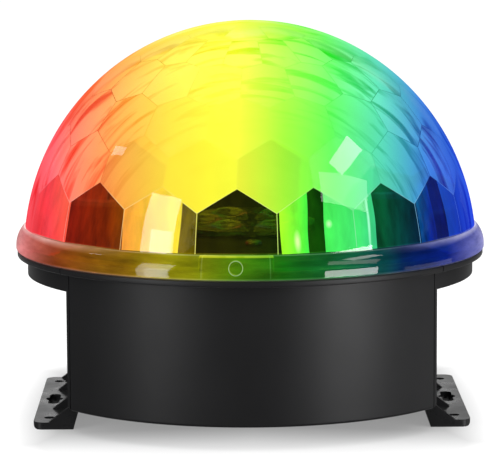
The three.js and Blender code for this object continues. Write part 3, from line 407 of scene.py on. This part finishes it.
def lit_facets(name):
    """Upper facets: most of what shows is the lamp's light caught in the plastic, crossed by painted
    streaks of the far facets, and brighter and paler on faces that look to the sides.
    """
    m = Mat(name)
    clear_body(m, hues(m, 0.8), 0.05, 60.0, 0.0006, 0.01)
    # dark: the painted streaks of the far facets
    dark = painted_far_facet_streaks(m, facet_number(m))
    side = sideways(m)
    even = m.spread(m.noise(24.0, 3.0, 0.5), 1.06, 1.22)
    strength = m.times(even, m.math("SUBTRACT", m.between(side, 1.0, 1.2), m.times(dark, 0.28)))
    pale = m.mixed(side, hues(m, 0.92), hues(m, 0.72))
    return m.glow_over(m.between(side, 0.84, 0.78), m.mixed(dark, pale, hues(m, 2.0)), strength)


def ridges(name):
    """The narrow edges between facets: painted pale highlight lines between the lowest ones, deeper in hue
    and dimmer high up at the sides.
    """
    m = Mat(name)
    clear_body(m, hues(m, 0.8), 0.12, 60.0, 0.0004, 0.05)
    axes = m.axes()
    high = m.rise(axes["Z"], 0.099, 0.106)
    beside = m.spread(m.absolute(axes["X"]), 0.25, 1.0, 0.02, 0.055)
    deep = m.times(sideways(m), high, beside)
    # pale: the painted highlight lines on the ridges
    pale = m.mixed(high, hues(m, 0.45), hues(m, 0.85))
    share = m.spread(m.noise(30.0, 3.0, 0.6), 0.75, 0.9)
    return m.glow_over(share, m.mixed(deep, pale, hues(m, 1.8)), m.between(deep, 1.12, 0.7))


def angle_from_front(m):
    axes = m.axes()
    return m.math("ARCTAN2", axes["X"], m.times(axes["Y"], -1.0))


def low_facets(name):
    """The lowest facets: painted bright bands between bands of painted shade where the dark inside shows,
    and three painted glints.
    """
    m = Mat(name)
    clear_body(m, hues(m), 0.03, 60.0, 0.0006)
    wobble = m.spread(m.noise(30.0, 1.0, 0.5), -0.008, 0.008)
    angle = m.math("ADD", angle_from_front(m), wobble)
    bands = [((start + 180) / 360, level) for start, level in BANDS]
    level = m.ramp(m.rise(angle, -math.pi, math.pi), bands, "CONSTANT")
    lit = m.rise(level, 0.8, 0.9)
    streaks = m.spread(m.noise(40.0, 3.0, 0.55, (5, 5, 1)), -1.0, 1.0)
    swing = m.between(lit, 0.5, 0.16)
    strength = m.times(level, m.math("ADD", m.times(swing, streaks), 1.0))
    tint = m.mixed(lit, hues(m, 2.0), hues(m, 1.15, LOW_PLACES))
    # Each painted glint makes the glow paler and brighter in a small patch
    for turn, height, half_width, half_height in PAINTED_GLINTS:
        across = m.times(m.math("SUBTRACT", angle, math.radians(turn)), FACET_R / half_width)
        up = m.times(m.math("SUBTRACT", m.axes()["Z"], height * MM), 1 / (half_height * MM))
        painted_glint = m.spread(m.distance(across, up), 0.75, 0.0, 0.2, 1.0)
        tint = m.mixed(painted_glint, tint, hues(m, 0.3))
        strength = m.math("ADD", strength, m.times(painted_glint, 0.5))
    return m.glow_over(m.between(lit, 0.9, 0.88), tint, strength)


def ring_band(name):
    """The ring: a tinted band with painted highlights on its top and bottom edges, its shoulder and its
    ends, and at each tab two pale lines and a round mark.
    """
    m = Mat(name)
    clear_body(m, hues(m, 0.8), 0.03, 70.0, 0.0004)
    from_tab = m.math("ADD", angle_from_front(m), -DOME_TURN)
    across = m.times(m.math("PINGPONG", from_tab, math.pi / TAB_COUNT), RING_R * MM)
    axes = m.axes()
    far = m.distance(across, m.math("SUBTRACT", axes["Z"], STUD_Z * MM))
    per_cm, per_two_cm = 100.0, 50.0
    mark = m.ramp(m.times(far, per_cm),
                  [(0.0, 0.0), (0.262, 0.0), (0.272, 1.0), (0.286, 1.0), (0.296, 0.0)])
    line = m.ramp(m.times(across, per_two_cm),
                  [(0.0, 0.0), (0.675, 0.0), (0.685, 0.25), (0.695, 0.25), (0.705, 0.0)])
    up = m.rise(axes["Z"], RING_BOTTOM * MM, (RING_TOP + 0.5) * MM)
    # Painted highlights along the ring's top and bottom edges
    painted_edge_highlight = m.ramp(up, [(0.0, 0.45), (0.04, 0.25), (0.07, 0.0), (0.9, 0.0), (0.94, 0.45), (1.0, 0.45)])
    aside = m.absolute(axes["X"])
    # Painted highlight on the upper shoulder towards the sides, and a painted highlight at the ring's far
    # ends
    painted_shoulder_highlight = m.times(m.rise(up, 0.7, 0.92), m.rise(aside, 0.05, 0.085))
    ends = m.spread(aside, 0.0, 0.8, 0.08, 0.099)
    # Pale: the tab marks and lines, and the painted highlights
    pale = m.highest(mark, line, painted_edge_highlight, painted_shoulder_highlight, ends)
    # Noise that makes the glow and the painted highlights uneven
    uneven_glow = m.noise(45.0, 4.0, 0.6, (1, 1, 5))
    base = m.times(m.spread(uneven_glow, 0.2, 0.66), m.ramp(place_across(m), RING_GLOW))
    strength = m.math("ADD", base, m.times(pale, 0.75, m.spread(uneven_glow, 0.7, 1.2)))
    tint = m.mixed(m.times(pale, 0.6), hues(m, 1.3, RING_PLACES), HIGHLIGHT_AND_MARK_TINT)
    return m.glow_over(m.spread(ends, 0.4, 0.6, 0.0, 0.8), tint, strength)


# Which piece takes which finish

MATS = {
    "black": plastic("satin_black", (0.0062, 0.0062, 0.0067), 0.47,
                     vary=0.12, spec=0.23, wear=0.02, sheen=0.2),
    "foot": foot_plastic("foot_black"),
    "trim": plastic("trim_black", (0.0105, 0.0105, 0.0115), 0.42, spec=0.4, edge=0.0003),
    "matt": plastic("matt_black", (0.008, 0.008, 0.009), 0.6, spec=0.3),
    "gloss": plastic("gloss_black", (0.012, 0.012, 0.013), 0.18, grain=900.0, depth=0.000006, edge=0.0003),
    "ivory": plastic("acetal", (0.78, 0.75, 0.67), 0.4, vary=0.06),
    "pale": plastic("pale_grey", (0.62, 0.62, 0.6), 0.35, vary=0.06, edge=0.0003),
    "steel": metal("zinc_steel", (0.62, 0.62, 0.64), 0.3),
    "aluminium": metal("extruded_aluminium", (0.78, 0.79, 0.8), 0.34, (1, 12, 1), 400.0),
    "brass": metal("brass_pin", (0.83, 0.62, 0.26), 0.25),
    "board": board("green_board", (0.02, 0.13, 0.05), (0.05, 0.24, 0.09)),
    "white_board": board("white_board", (0.74, 0.75, 0.73), (0.6, 0.61, 0.6)),
    "clear": clear_plain("clear_lens"),
    "dome": dome_skin("clear_dome"),
    "lit": lit_facets("lit_facets"),
    "low": low_facets("low_facets"),
    "ring": ring_band("ring_band"),
    "ridge": ridges("facet_edges"),
}
FINISH = {
    "black": ["bottom_cover", "chassis_plate"],
    "trim": ["control_panel", "sensitivity_knob"],
    "foot": ["right_foot", "left_foot"],
    "matt": ["deck_plate", "lens_holder", "dome_carrier"],
    "gloss": ["power_inlet", "switch_body", "power_rocker", "push_switch", "sound_control"],
    "ivory": ["guide_roller_1", "guide_roller_2", "guide_roller_3", "drive_pinion"],
    "pale": ["mode_button"],
    "aluminium": ["heat_sink", "sound_sensor"],
    "brass": ["inlet_pin"],
    "board": ["control_board", "driver_board"],
    "white_board": ["led_board"],
    "clear": ["lens_array"],
}
LED_COLOURS = {"led_red": (1.0, 0.08, 0.04), "led_green": (0.1, 0.9, 0.15),
               "led_blue": (0.06, 0.15, 1.0), "led_white": (1.0, 0.93, 0.8),
               "led_amber": (1.0, 0.4, 0.04), "led_violet": (0.5, 0.08, 1.0)}
SHARP_FROM = 34.0


def soft_shading():
    """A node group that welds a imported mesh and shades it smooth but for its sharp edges."""
    group = bpy.data.node_groups.new("soft_shading", "GeometryNodeTree")
    for way in ("INPUT", "OUTPUT"):
        group.interface.new_socket("Geometry", in_out=way, socket_type="NodeSocketGeometry")
    start, end, weld, angle, sharp, faces, edges = (group.nodes.new(kind) for kind in (
        "NodeGroupInput", "NodeGroupOutput", "GeometryNodeMergeByDistance",
        "GeometryNodeInputMeshEdgeAngle", "FunctionNodeCompare",
        "GeometryNodeSetShadeSmooth", "GeometryNodeSetShadeSmooth"))
    weld.inputs["Distance"].default_value = 0.000001
    sharp.data_type, sharp.operation = "FLOAT", "GREATER_THAN"
    sharp.inputs["B"].default_value = math.radians(SHARP_FROM)
    faces.domain, edges.domain = "FACE", "EDGE"
    edges.inputs["Shade Smooth"].default_value = False
    join = group.links.new
    join(start.outputs[0], weld.inputs["Geometry"])
    join(weld.outputs["Geometry"], faces.inputs["Geometry"])
    join(faces.outputs["Geometry"], edges.inputs["Geometry"])
    join(angle.outputs["Unsigned Angle"], sharp.inputs["A"])
    join(sharp.outputs["Result"], edges.inputs["Selection"])
    join(edges.outputs["Geometry"], end.inputs[0])
    return group


finish_of = {name: MATS[key] for key, names in FINISH.items() for name in names}
for led, colour in LED_COLOURS.items():
    finish_of[led] = emitter(led + "_glow", colour)
shading = soft_shading()
for name, obj in nodes.items():
    obj.data.materials.clear()
    obj.data.materials.append(finish_of.get(name, MATS["steel"]))
    obj.modifiers.new("soft_shading", "NODES").node_group = shading


# Mesh building

def to_object(name, bm, material):
    mesh = bpy.data.meshes.new(name)
    bm.to_mesh(mesh)
    bm.free()
    obj = bpy.data.objects.new(name, mesh)
    scene.collection.objects.link(obj)
    if material:
        mesh.materials.append(material)
    return obj


def lathe(profile, steps=192):
    """A closed solid turned from (radius, height) points in millimetres."""
    bm = bmesh.new()
    rings = []
    for radius, height in profile:
        if radius < 1e-6:
            rings.append([bm.verts.new((0, 0, height * MM))])
        else:
            turns = [2 * math.pi * i / steps for i in range(steps)]
            rings.append([bm.verts.new((radius * MM * math.cos(a), radius * MM * math.sin(a), height * MM))
                          for a in turns])
    for a, b in zip(rings, rings[1:]):
        for i in range(steps):
            j = (i + 1) % steps
            if len(a) == 1:
                bm.faces.new((a[0], b[i], b[j]))
            elif len(b) == 1:
                bm.faces.new((a[i], b[0], a[j]))
            else:
                bm.faces.new((a[i], b[i], b[j], a[j]))
    bmesh.ops.recalc_face_normals(bm, faces=bm.faces)
    return bm


def bar(radius, z0, z1, x=0.0, y=0.0, steps=32):
    bm = lathe([(0, z0), (radius, z0), (radius, z1), (0, z1)], steps)
    bmesh.ops.translate(bm, vec=(x * MM, y * MM, 0), verts=bm.verts)
    return bm


def spin(bm, angle):
    """Turns a solid about the X axis."""
    bmesh.ops.rotate(bm, cent=(0, 0, 0), matrix=Matrix.Rotation(angle, 3, "X"), verts=bm.verts)


def arc(centre_x, centre_y, radius_x, radius_y, start, end, steps):
    angles = [start + (end - start) * i / steps for i in range(steps + 1)]
    return [(centre_x + radius_x * math.cos(a), centre_y + radius_y * math.sin(a)) for a in angles]


def prism(points, z0, z1, axis="z"):
    """A solid from a flat outline: along Z, or for axis "y" an outline in X and Z pulled along Y."""
    bm = bmesh.new()
    low, high = [], []
    for a, b in points:
        for ends, place in ((low, z0), (high, z1)):
            spot = (a, b, place) if axis == "z" else (a, place, b)
            ends.append(bm.verts.new(Vector(spot) * MM))
    bm.faces.new(low)
    bm.faces.new(high)
    count = len(points)
    for i in range(count):
        j = (i + 1) % count
        bm.faces.new((low[i], low[j], high[j], high[i]))
    bmesh.ops.recalc_face_normals(bm, faces=bm.faces)
    return bm


def block(x0, x1, y0, y1, z0, z1):
    return prism([(x0, y0), (x1, y0), (x1, y1), (x0, y1)], z0, z1)


def carve(bm, tools, operation="DIFFERENCE"):
    """The solid left after cutters, additions or a common part."""
    obj = to_object("carved", bm, None)
    for tool_mesh in tools:
        tool = to_object("tool", tool_mesh, None)
        mod = obj.modifiers.new("cut", "BOOLEAN")
        mod.operation, mod.solver, mod.object = operation, "EXACT", tool
        depsgraph = bpy.context.evaluated_depsgraph_get()
        mesh = bpy.data.meshes.new_from_object(obj.evaluated_get(depsgraph))
        obj.modifiers.clear()
        old = obj.data
        obj.data = mesh
        bpy.data.meshes.remove(old)
        spent = tool.data
        bpy.data.objects.remove(tool)
        bpy.data.meshes.remove(spent)
    made = bmesh.new()
    made.from_mesh(obj.data)
    mesh = obj.data
    bpy.data.objects.remove(obj)
    bpy.data.meshes.remove(mesh)
    return made


def stand_for(obj, node, body, degrees):
    """Finishes a piece that is shown in place of a CAD node; edges over these degrees stay sharp."""
    obj.data.shade_smooth()
    obj.data.set_sharp_from_angle(angle=math.radians(degrees))
    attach(obj, body)
    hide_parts(node)


# Drum

def drum_sides(half, bottom, step, top, corner):
    """The drum seen from the front: flats at half its width up to the step, with rounded lower corners."""
    reach = RIM_R + 1
    right = arc(half - corner, bottom + corner, corner, corner, FRONT, 0, 6)
    left = [(-x, z) for x, z in reversed(right)]
    return [(-reach, top), (-reach, step), (-half, step), *left, *right,
            (half, step), (reach, step), (reach, top)]


def drum_shell():
    profile = [(0, DRUM_BOTTOM)]
    profile += arc(DRUM_R - DRUM_EDGE, DRUM_BOTTOM + DRUM_EDGE, DRUM_EDGE, DRUM_EDGE, FRONT, 0, 6)
    profile += [(DRUM_R, RIM_BOTTOM)]
    profile += arc(RIM_R - RIM_EDGE, RIM_BOTTOM + RIM_EDGE, RIM_EDGE, RIM_EDGE, FRONT, 0, 4)
    profile += arc(RIM_R - RIM_EDGE, RIM_TOP - RIM_EDGE, RIM_EDGE, RIM_EDGE, 0, -FRONT, 4)
    profile += [(0, RIM_TOP)]
    sides = drum_sides(FLAT_X, DRUM_BOTTOM, LEDGE_BOTTOM, RIM_TOP + 1, FLAT_EDGE)
    return carve(lathe(profile, 288), [prism(sides, -RIM_R - 1, RIM_R + 1, "y")], "INTERSECT")


def drum_bore():
    sides = drum_sides(BORE_X, 0, LEDGE_TOP, RIM_TOP + 10, BLEND)
    return carve(bar(BORE_R, DRUM_BOTTOM - 1, RIM_TOP + 1, steps=288), [prism(sides, -RIM_R, RIM_R, "y")],
                 "INTERSECT")


def wedge(half):
    """All that lies within this angle of the front."""
    reach = 2 * RING_R
    return prism([(0, 0), *arc(0, 0, reach, reach, FRONT - half, FRONT + half, 24)], 0, RING_TOP)


def ring_part(inner, outer, z0, z1, start, end, steps=12):
    there = arc(0, 0, outer, outer, start, end, steps)
    back = arc(0, 0, inner, inner, end, start, steps)
    return prism(there + back, z0, z1)


def make_drum():
    shell = carve(drum_shell(), [drum_bore()])
    post_x, post_y = PANEL_POST_R * math.sin(PANEL_POST_ANGLE), -PANEL_POST_R * math.cos(PANEL_POST_ANGLE)
    panel_posts = [(side * post_x, post_y) for side in (-1, 1)]
    house_posts = [(side * POST_X, end * POST_Y) for side in (-1, 1) for end in (-1, 1)]

    def posts(places):
        return [bar(POST_R, POST_BOTTOM, POST_TOP, x, y) for x, y in places]

    def holes(places):
        return [bar(POST_HOLE_R, POST_BOTTOM - 1, POST_TOP + 1, x, y, 16) for x, y in places]

    spare = shell.copy()
    front = carve(carve(spare, [wedge(PANEL_ANGLE)], "INTERSECT"), posts(panel_posts), "UNION")
    panel = to_object("front_skin", carve(front, holes(panel_posts)), MATS["black"])
    stand_for(panel, "front_panel", "base", 25.0)

    around_recess = block(-RECESS_X - WALL, RECESS_X + WALL, RECESS_BACK, RIM_R,
                          RECESS_BOTTOM - WALL, RECESS_TOP + WALL)
    wall = carve(drum_shell(), [around_recess], "INTERSECT")
    recess = block(-RECESS_X, RECESS_X, RECESS_FRONT, RIM_R + 1, RECESS_BOTTOM, RECESS_TOP)
    opening = block(-RECESS_X + LIP_WIDTH, RECESS_X - LIP_WIDTH, 0, RIM_R + 1,
                    RECESS_BOTTOM + LIP_HEIGHT, RECESS_TOP - LIP_HEIGHT)
    behind = PANEL_ANGLE + SEAM / DRUM_R
    house = carve(carve(shell, [wall], "UNION"), [wedge(behind), recess, opening])
    sides = drum_sides(FLAT_X - BLEND, 0, LEDGE_BOTTOM, RIM_TOP, BLEND)
    laps = []
    for side in (-1, 1):
        start = FRONT + side * (PANEL_ANGLE - LAP_WIDTH / BORE_R)
        root = FRONT + side * (behind + SEAM / DRUM_R)
        end = FRONT + side * (behind + WALL / BORE_R)
        for outer, first in ((LAP_R, start), (BORE_R + BLEND, root)):
            strip = ring_part(LAP_R - LAP_THICKNESS, outer, POST_BOTTOM, POST_TOP, *sorted((first, end)))
            laps.append(carve(strip, [prism(sides, -RIM_R, RIM_R, "y")], "INTERSECT"))
    house = carve(house, laps + posts(house_posts), "UNION")
    screw_holes = []
    for side in (-1, 1):
        hole = bar(PLATE_HOLE_R, -RIM_R, -RECESS_BACK + 1, steps=16)
        spin(hole, math.pi / 2)
        place = Vector((side * PLATE_SCREW_X, 0, (RECESS_BOTTOM + RECESS_TOP) / 2)) * MM
        bmesh.ops.translate(hole, vec=place, verts=hole.verts)
        screw_holes.append(hole)
    tub = to_object("drum_skin", carve(house, holes(house_posts) + screw_holes), MATS["black"])
    stand_for(tub, "housing", "base", 25.0)


# Dome

def faceted_hollow():
    """The convex hollow whose facets all touch one ball; the edges between them are narrow ridges."""
    bm = block(-110, 110, -110, 110, RING_TOP, DOME_Z + DOME_RISE)
    for elevation, count, share in FACET_ROWS:
        rise = math.radians(elevation)
        for i in range(count):
            turn = FRONT + DOME_TURN + 2 * math.pi * (i + share) / count
            level = math.cos(rise)
            normal = Vector((level * math.cos(turn), level * math.sin(turn), math.sin(rise)))
            point = Vector((0, 0, DOME_Z * MM)) + normal * FACET_R * MM
            everything = bm.verts[:] + bm.edges[:] + bm.faces[:]
            made = bmesh.ops.bisect_plane(bm, geom=everything, plane_co=point, plane_no=normal,
                                          clear_outer=True, dist=1e-7)
            edges = [g for g in made["geom_cut"] if isinstance(g, bmesh.types.BMEdge)]
            if edges:
                bmesh.ops.contextual_create(bm, geom=edges)
    bmesh.ops.recalc_face_normals(bm, faces=bm.faces)

    def between_facets(edge):
        low, high = sorted(v.co.z / MM for v in edge.verts)
        return low > RING_TOP + 0.2 or high - low > 5

    ridge_edges = [e for e in bm.edges if between_facets(e)]
    bmesh.ops.bevel(bm, geom=ridge_edges, offset=RIDGE_REACH * MM, segments=1, affect="EDGES", profile=0.5)
    return bm


def stud(radius, inner, outer, angle, steps=32):
    """A short round bar that points outwards through the ring at this angle."""
    bm = prism(arc(0, 0, radius, radius, 0, 2 * math.pi, steps)[:-1], inner, outer)
    lift = Matrix.Translation((0, 0, STUD_Z * MM))
    turn = Matrix.Rotation(angle, 4, "Z") @ lift @ Matrix.Rotation(math.pi / 2, 4, "Y")
    bmesh.ops.transform(bm, matrix=turn, verts=bm.verts)
    return bm


DOME_LOOKS = ["dome", "lit", "low", "ring", "ridge"]


def dome_look(centre, normal):
    """Which of these a face takes: outer skin, upper facet, lowest facet, ring or facet edge."""
    close = 0.05
    radius = math.hypot(centre.x, centre.y) / MM
    height = centre.z / MM
    outward = Vector((centre.x, centre.y, 0)).dot(normal)
    if height > RING_TOP + close and (outward < 0 or normal.z < -0.5):
        reach = -(centre - Vector((0, 0, DOME_Z * MM))).dot(normal) / MM
        if abs(reach - FACET_R) > 0.03:
            return "ridge"
        return "lit" if normal.z < -math.sin(math.radians(LOW_ROW_END)) else "low"
    # The ledge where the bore meets the hollow takes the upper facets' glow: a painted bright line along
    # the ring's top
    if abs(height - RING_TOP) < close and radius < FACET_R + 0.6:
        return "lit"
    return "ring" if height < RING_TOP + close else "dome"


def make_dome():
    start = math.asin((RING_TOP - DOME_Z) / DOME_RISE)
    crown_end = math.asin((RING_TOP - RING_BOTTOM - RING_BAND) / CROWN_RISE)
    profile = [(0, RING_BOTTOM), (RING_R - RING_EDGE, RING_BOTTOM),
               (RING_R - RING_EDGE_BEND, RING_BOTTOM + RING_EDGE_BEND), (RING_R, RING_BOTTOM + RING_EDGE)]
    profile += arc(RING_BORE_R, RING_BOTTOM + RING_BAND, RING_R - RING_BORE_R, CROWN_RISE,
                   0, crown_end, 16)
    profile += arc(0, DOME_Z, DOME_R, DOME_RISE, start, math.pi / 2, 48)[:-1] + [(0, DOME_Z + DOME_RISE)]
    places = [FRONT + DOME_TURN + 2 * math.pi * i / TAB_COUNT for i in range(TAB_COUNT)]
    half = math.asin(TAB_WIDTH / 2 / SKIRT_R)
    cutters = [faceted_hollow(), bar(RING_BORE_R, RING_BOTTOM - 1, RING_TOP + 0.5, steps=192),
               bar(SKIRT_R, RING_BOTTOM - 1, SEAT_Z, steps=192)]
    for angle in places:
        cutters.append(ring_part(SKIRT_R - TAB_DEPTH, SKIRT_R, RING_BOTTOM + 0.5, TAB_TOP,
                                 angle - half, angle + half))
        cutters.append(stud(STUD_R, SKIRT_R - 0.5, SKIRT_R + STUD_REACH, angle))
    dome = to_object("clear_dome", carve(lathe(profile, 240), cutters), MATS["dome"])
    for key in DOME_LOOKS[1:]:
        dome.data.materials.append(MATS[key])
    for face in dome.data.polygons:
        face.material_index = DOME_LOOKS.index(dome_look(face.center, face.normal))
    stand_for(dome, "dome_shell", "dome", 9.0)


# Screws with a cross drive, where they can be seen

# Kind and count, axis, side of the head, head's radius and height, and thread's radius in millimetres
SCREWS = [("foot", 4, "z", -1, 2.75, 1.9, 1.5), ("cover", 2, "z", -1, 2.75, 1.9, 1.5),
          ("deck", 3, "z", 1, 2.75, 1.9, 1.5), ("plate", 2, "y", 1, 2.3, 1.5, 1.25)]
# The height of the head's dome, and the depth of its drive, as shares of the head's height
HEAD_DOME, DRIVE_DEPTH = 0.7, 0.55
# Half the drive's length and width, as shares of the head's radius
DRIVE_REACH, DRIVE_WIDTH = 0.55, 0.13
THREAD_END = 0.5


def screw_skin(node, along, side, head_r, head_h, thread_r):
    low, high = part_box(node)
    axis = "xyz".index(along)
    length = (high[axis] - low[axis]) / MM
    middle = [(a + b) / 2 for a, b in zip(low, high)]
    crown = head_h * HEAD_DOME
    profile = [(0, 0), *arc(0, crown, head_r, crown, FRONT, 0, 8)[1:], (head_r, head_h),
               (thread_r, head_h), (thread_r, length - THREAD_END), (thread_r - THREAD_END, length),
               (0, length)]
    reach, width, depth = head_r * DRIVE_REACH, head_r * DRIVE_WIDTH, head_h * DRIVE_DEPTH
    bm = carve(lathe(profile, 32), [block(-reach, reach, -width, width, -1, depth),
                                    block(-width, width, -reach, reach, -1, depth)])
    if side > 0:
        spin(bm, math.pi)
    if along == "y":
        spin(bm, -math.pi / 2)
    middle[axis] = high[axis] if side > 0 else low[axis]
    bmesh.ops.translate(bm, vec=middle, verts=bm.verts)
    stand_for(to_object(node + "_skin", bm, MATS["steel"]), node, "base", 30.0)


make_drum()
make_dome()
for kind, count, *values in SCREWS:
    for number in range(count):
        screw_skin(f"{kind}_screw_{number + 1}", *values)


# Stage, light and camera

# Where painted shade darkens the floor under each foot, in metres: its middle along X, and half its size
# along X and Y
FOOT_X, FOOT_HALF_X, FOOT_HALF_Y = 0.084, 0.0045, 0.045
OPEN_FLOOR = 0.78
# The painted shadow under the drum, a dip in the floor's glow: the way from its middle in eighths of a
# metre, and the glow left there
PAINTED_SHADOW_GLOW = [(0.0, 0.26), (0.36, 0.295), (0.455, 0.395), (0.54, 0.505), (0.62, 0.61), (0.71, 0.68),
          (0.86, OPEN_FLOOR)]


def make_floor():
    """A pale floor that glows evenly, with a soft painted shadow under the drum and a patch of painted
    shade under each foot.
    """
    bm = bmesh.new()
    bmesh.ops.create_grid(bm, x_segments=8, y_segments=8, size=6.0)
    m = Mat("floor")
    m.set(Roughness=0.9, Specular_IOR_Level=0.1, Emission_Color=(1.0, 1.0, 1.0, 1.0))
    axes = m.axes()
    aside, along = m.absolute(axes["X"]), m.absolute(axes["Y"])
    # Painted shade under each foot: there the floor is darker and does not glow
    from_foot = m.absolute(m.math("SUBTRACT", aside, FOOT_X))
    clear_of_feet = m.highest(m.rise(from_foot, FOOT_HALF_X, FOOT_HALF_X + 0.001),
                              m.rise(along, FOOT_HALF_Y, FOOT_HALF_Y + 0.003))
    m.feed("Base Color", m.ramp(clear_of_feet, [(0.0, 0.06), (1.0, 0.25)]))
    # Painted shadow under the drum: the floor's glow dips towards its middle
    forward = m.math("SUBTRACT", along, m.times(aside, 0.15))
    painted_shadow = m.ramp(m.times(forward, 8.0), PAINTED_SHADOW_GLOW)
    beside = m.spread(aside, 0.0, OPEN_FLOOR, 0.068, 0.1)
    around = m.spread(m.distance(axes["X"], axes["Y"]), 0.0, OPEN_FLOOR, 0.096, 0.13)
    m.feed("Emission Strength", m.times(m.highest(painted_shadow, beside, around), clear_of_feet))
    floor = to_object("floor", bm, m.mat)
    floor.visible_glossy = False


def area(name, place, target, width, height, power, mirrored=True):
    light = bpy.data.lights.new(name, "AREA")
    light.shape = "RECTANGLE"
    light.size, light.size_y = width, height
    light.energy = power
    obj = bpy.data.objects.new(name, light)
    scene.collection.objects.link(obj)
    obj.location = place
    obj.rotation_mode = "QUATERNION"
    obj.rotation_quaternion = (Vector(target) - Vector(place)).to_track_quat("-Z", "Y")
    obj.visible_glossy = mirrored
    return obj


def softbox(name, azimuths, elevations, radiance, reach=1.0, roll=0):
    """A softbox that fills these angles as seen from the dome; azimuth 0 is the front."""
    turn, rise = (math.radians(sum(pair) / 2) for pair in (azimuths, elevations))
    width = 2 * reach * math.tan(math.radians((azimuths[1] - azimuths[0]) / 2)) * math.cos(rise)
    height = 2 * reach * math.tan(math.radians((elevations[1] - elevations[0]) / 2))
    centre = Vector((0, 0, DOME_Z * MM))
    way = Vector((math.sin(turn) * math.cos(rise), -math.cos(turn) * math.cos(rise), math.sin(rise)))
    obj = area(name, centre + way * reach, centre, width, height, radiance * math.pi * width * height)
    obj.rotation_quaternion = obj.rotation_quaternion @ Quaternion((0, 0, 1), math.radians(roll))


def make_world():
    """Even light for the camera and soft light; mirrored rays see a dim room with a low bright wall at the
    back, and rays that pass through the dome see it dark towards the front."""
    world = bpy.data.worlds.new("studio")
    scene.world = world
    world.use_nodes = True
    w = Nodes(world.node_tree)
    axes = w.axes(w.coords("Generated"))
    behind = w.ramp(axes["Y"], [(0.8, 0.0), (0.97, 1.0)])
    middle = w.ramp(w.absolute(axes["X"]), [(0.06, 1.9), (0.16, 0.0)])
    low = w.ramp(axes["Z"], [(0.06, 0.0), (0.1, 1.0), (0.19, 1.0), (0.23, 0.0)])
    mirrored = w.math("ADD", w.times(behind, middle, low), 0.04)
    through = w.ramp(axes["Y"], [(0.0, 0.04), (0.7, 1.0)])
    path = w.node("ShaderNodeLightPath").outputs

    def choose(share, first, second):
        keep = w.times(w.math("SUBTRACT", 1.0, share), first)
        return w.math("ADD", keep, w.times(share, second))

    strength = choose(path["Is Transmission Ray"], choose(path["Is Glossy Ray"], 1.0, mirrored), through)
    background = w.tree.nodes["Background"]
    background.inputs["Color"].default_value = (1, 1, 1, 1)
    w.link(strength, background.inputs["Strength"])


def make_camera():
    """The photo's viewpoint, found from the ellipses of the ring and the dome and from the feet."""
    data = bpy.data.cameras.new("camera")
    data.sensor_width, data.lens = 36.0, 201.9
    data.clip_start, data.clip_end = 0.05, 50.0
    camera = bpy.data.objects.new("camera", data)
    scene.collection.objects.link(camera)
    about, place, pitch, roll = math.radians(-0.6), (0, -1.1910, 0.2435), math.radians(90 - 8.05), -0.0049
    camera.matrix_world = (Matrix.Rotation(about, 4, "Z") @ Matrix.Translation(place)
                           @ Matrix.Rotation(pitch, 4, "X") @ Matrix.Rotation(roll, 4, "Z"))
    scene.camera = camera


make_floor()
make_world()
area("top_box", (0.0, 0.0, 1.2), (0, 0, 0.05), 1.4, 1.4, 12.0, mirrored=False)
softbox("left_box", (-54.3, -37.7), (-14, 29), 6.0)
softbox("left_core", (-50.0, -39.0), (-12, 14), 5.0, 1.1)
softbox("left_glint", (-98.1, -89.3), (34.5, 37.9), 4.0, 3.0, 25)
softbox("right_box", (33.4, 60.0), (-14, 6), 14.5)
softbox("right_high_box", (40.3, 68.1), (22.9, 36.9), 3.5, 3.0, -24)
softbox("right_top_box", (54.0, 80.0), (39.0, 47.0), 8.0, 3.0, 16)
softbox("right_side_box", (76, 112), (-26, -5), 1.1, 1.5)
make_camera()
scene.view_settings.view_transform = "Standard"
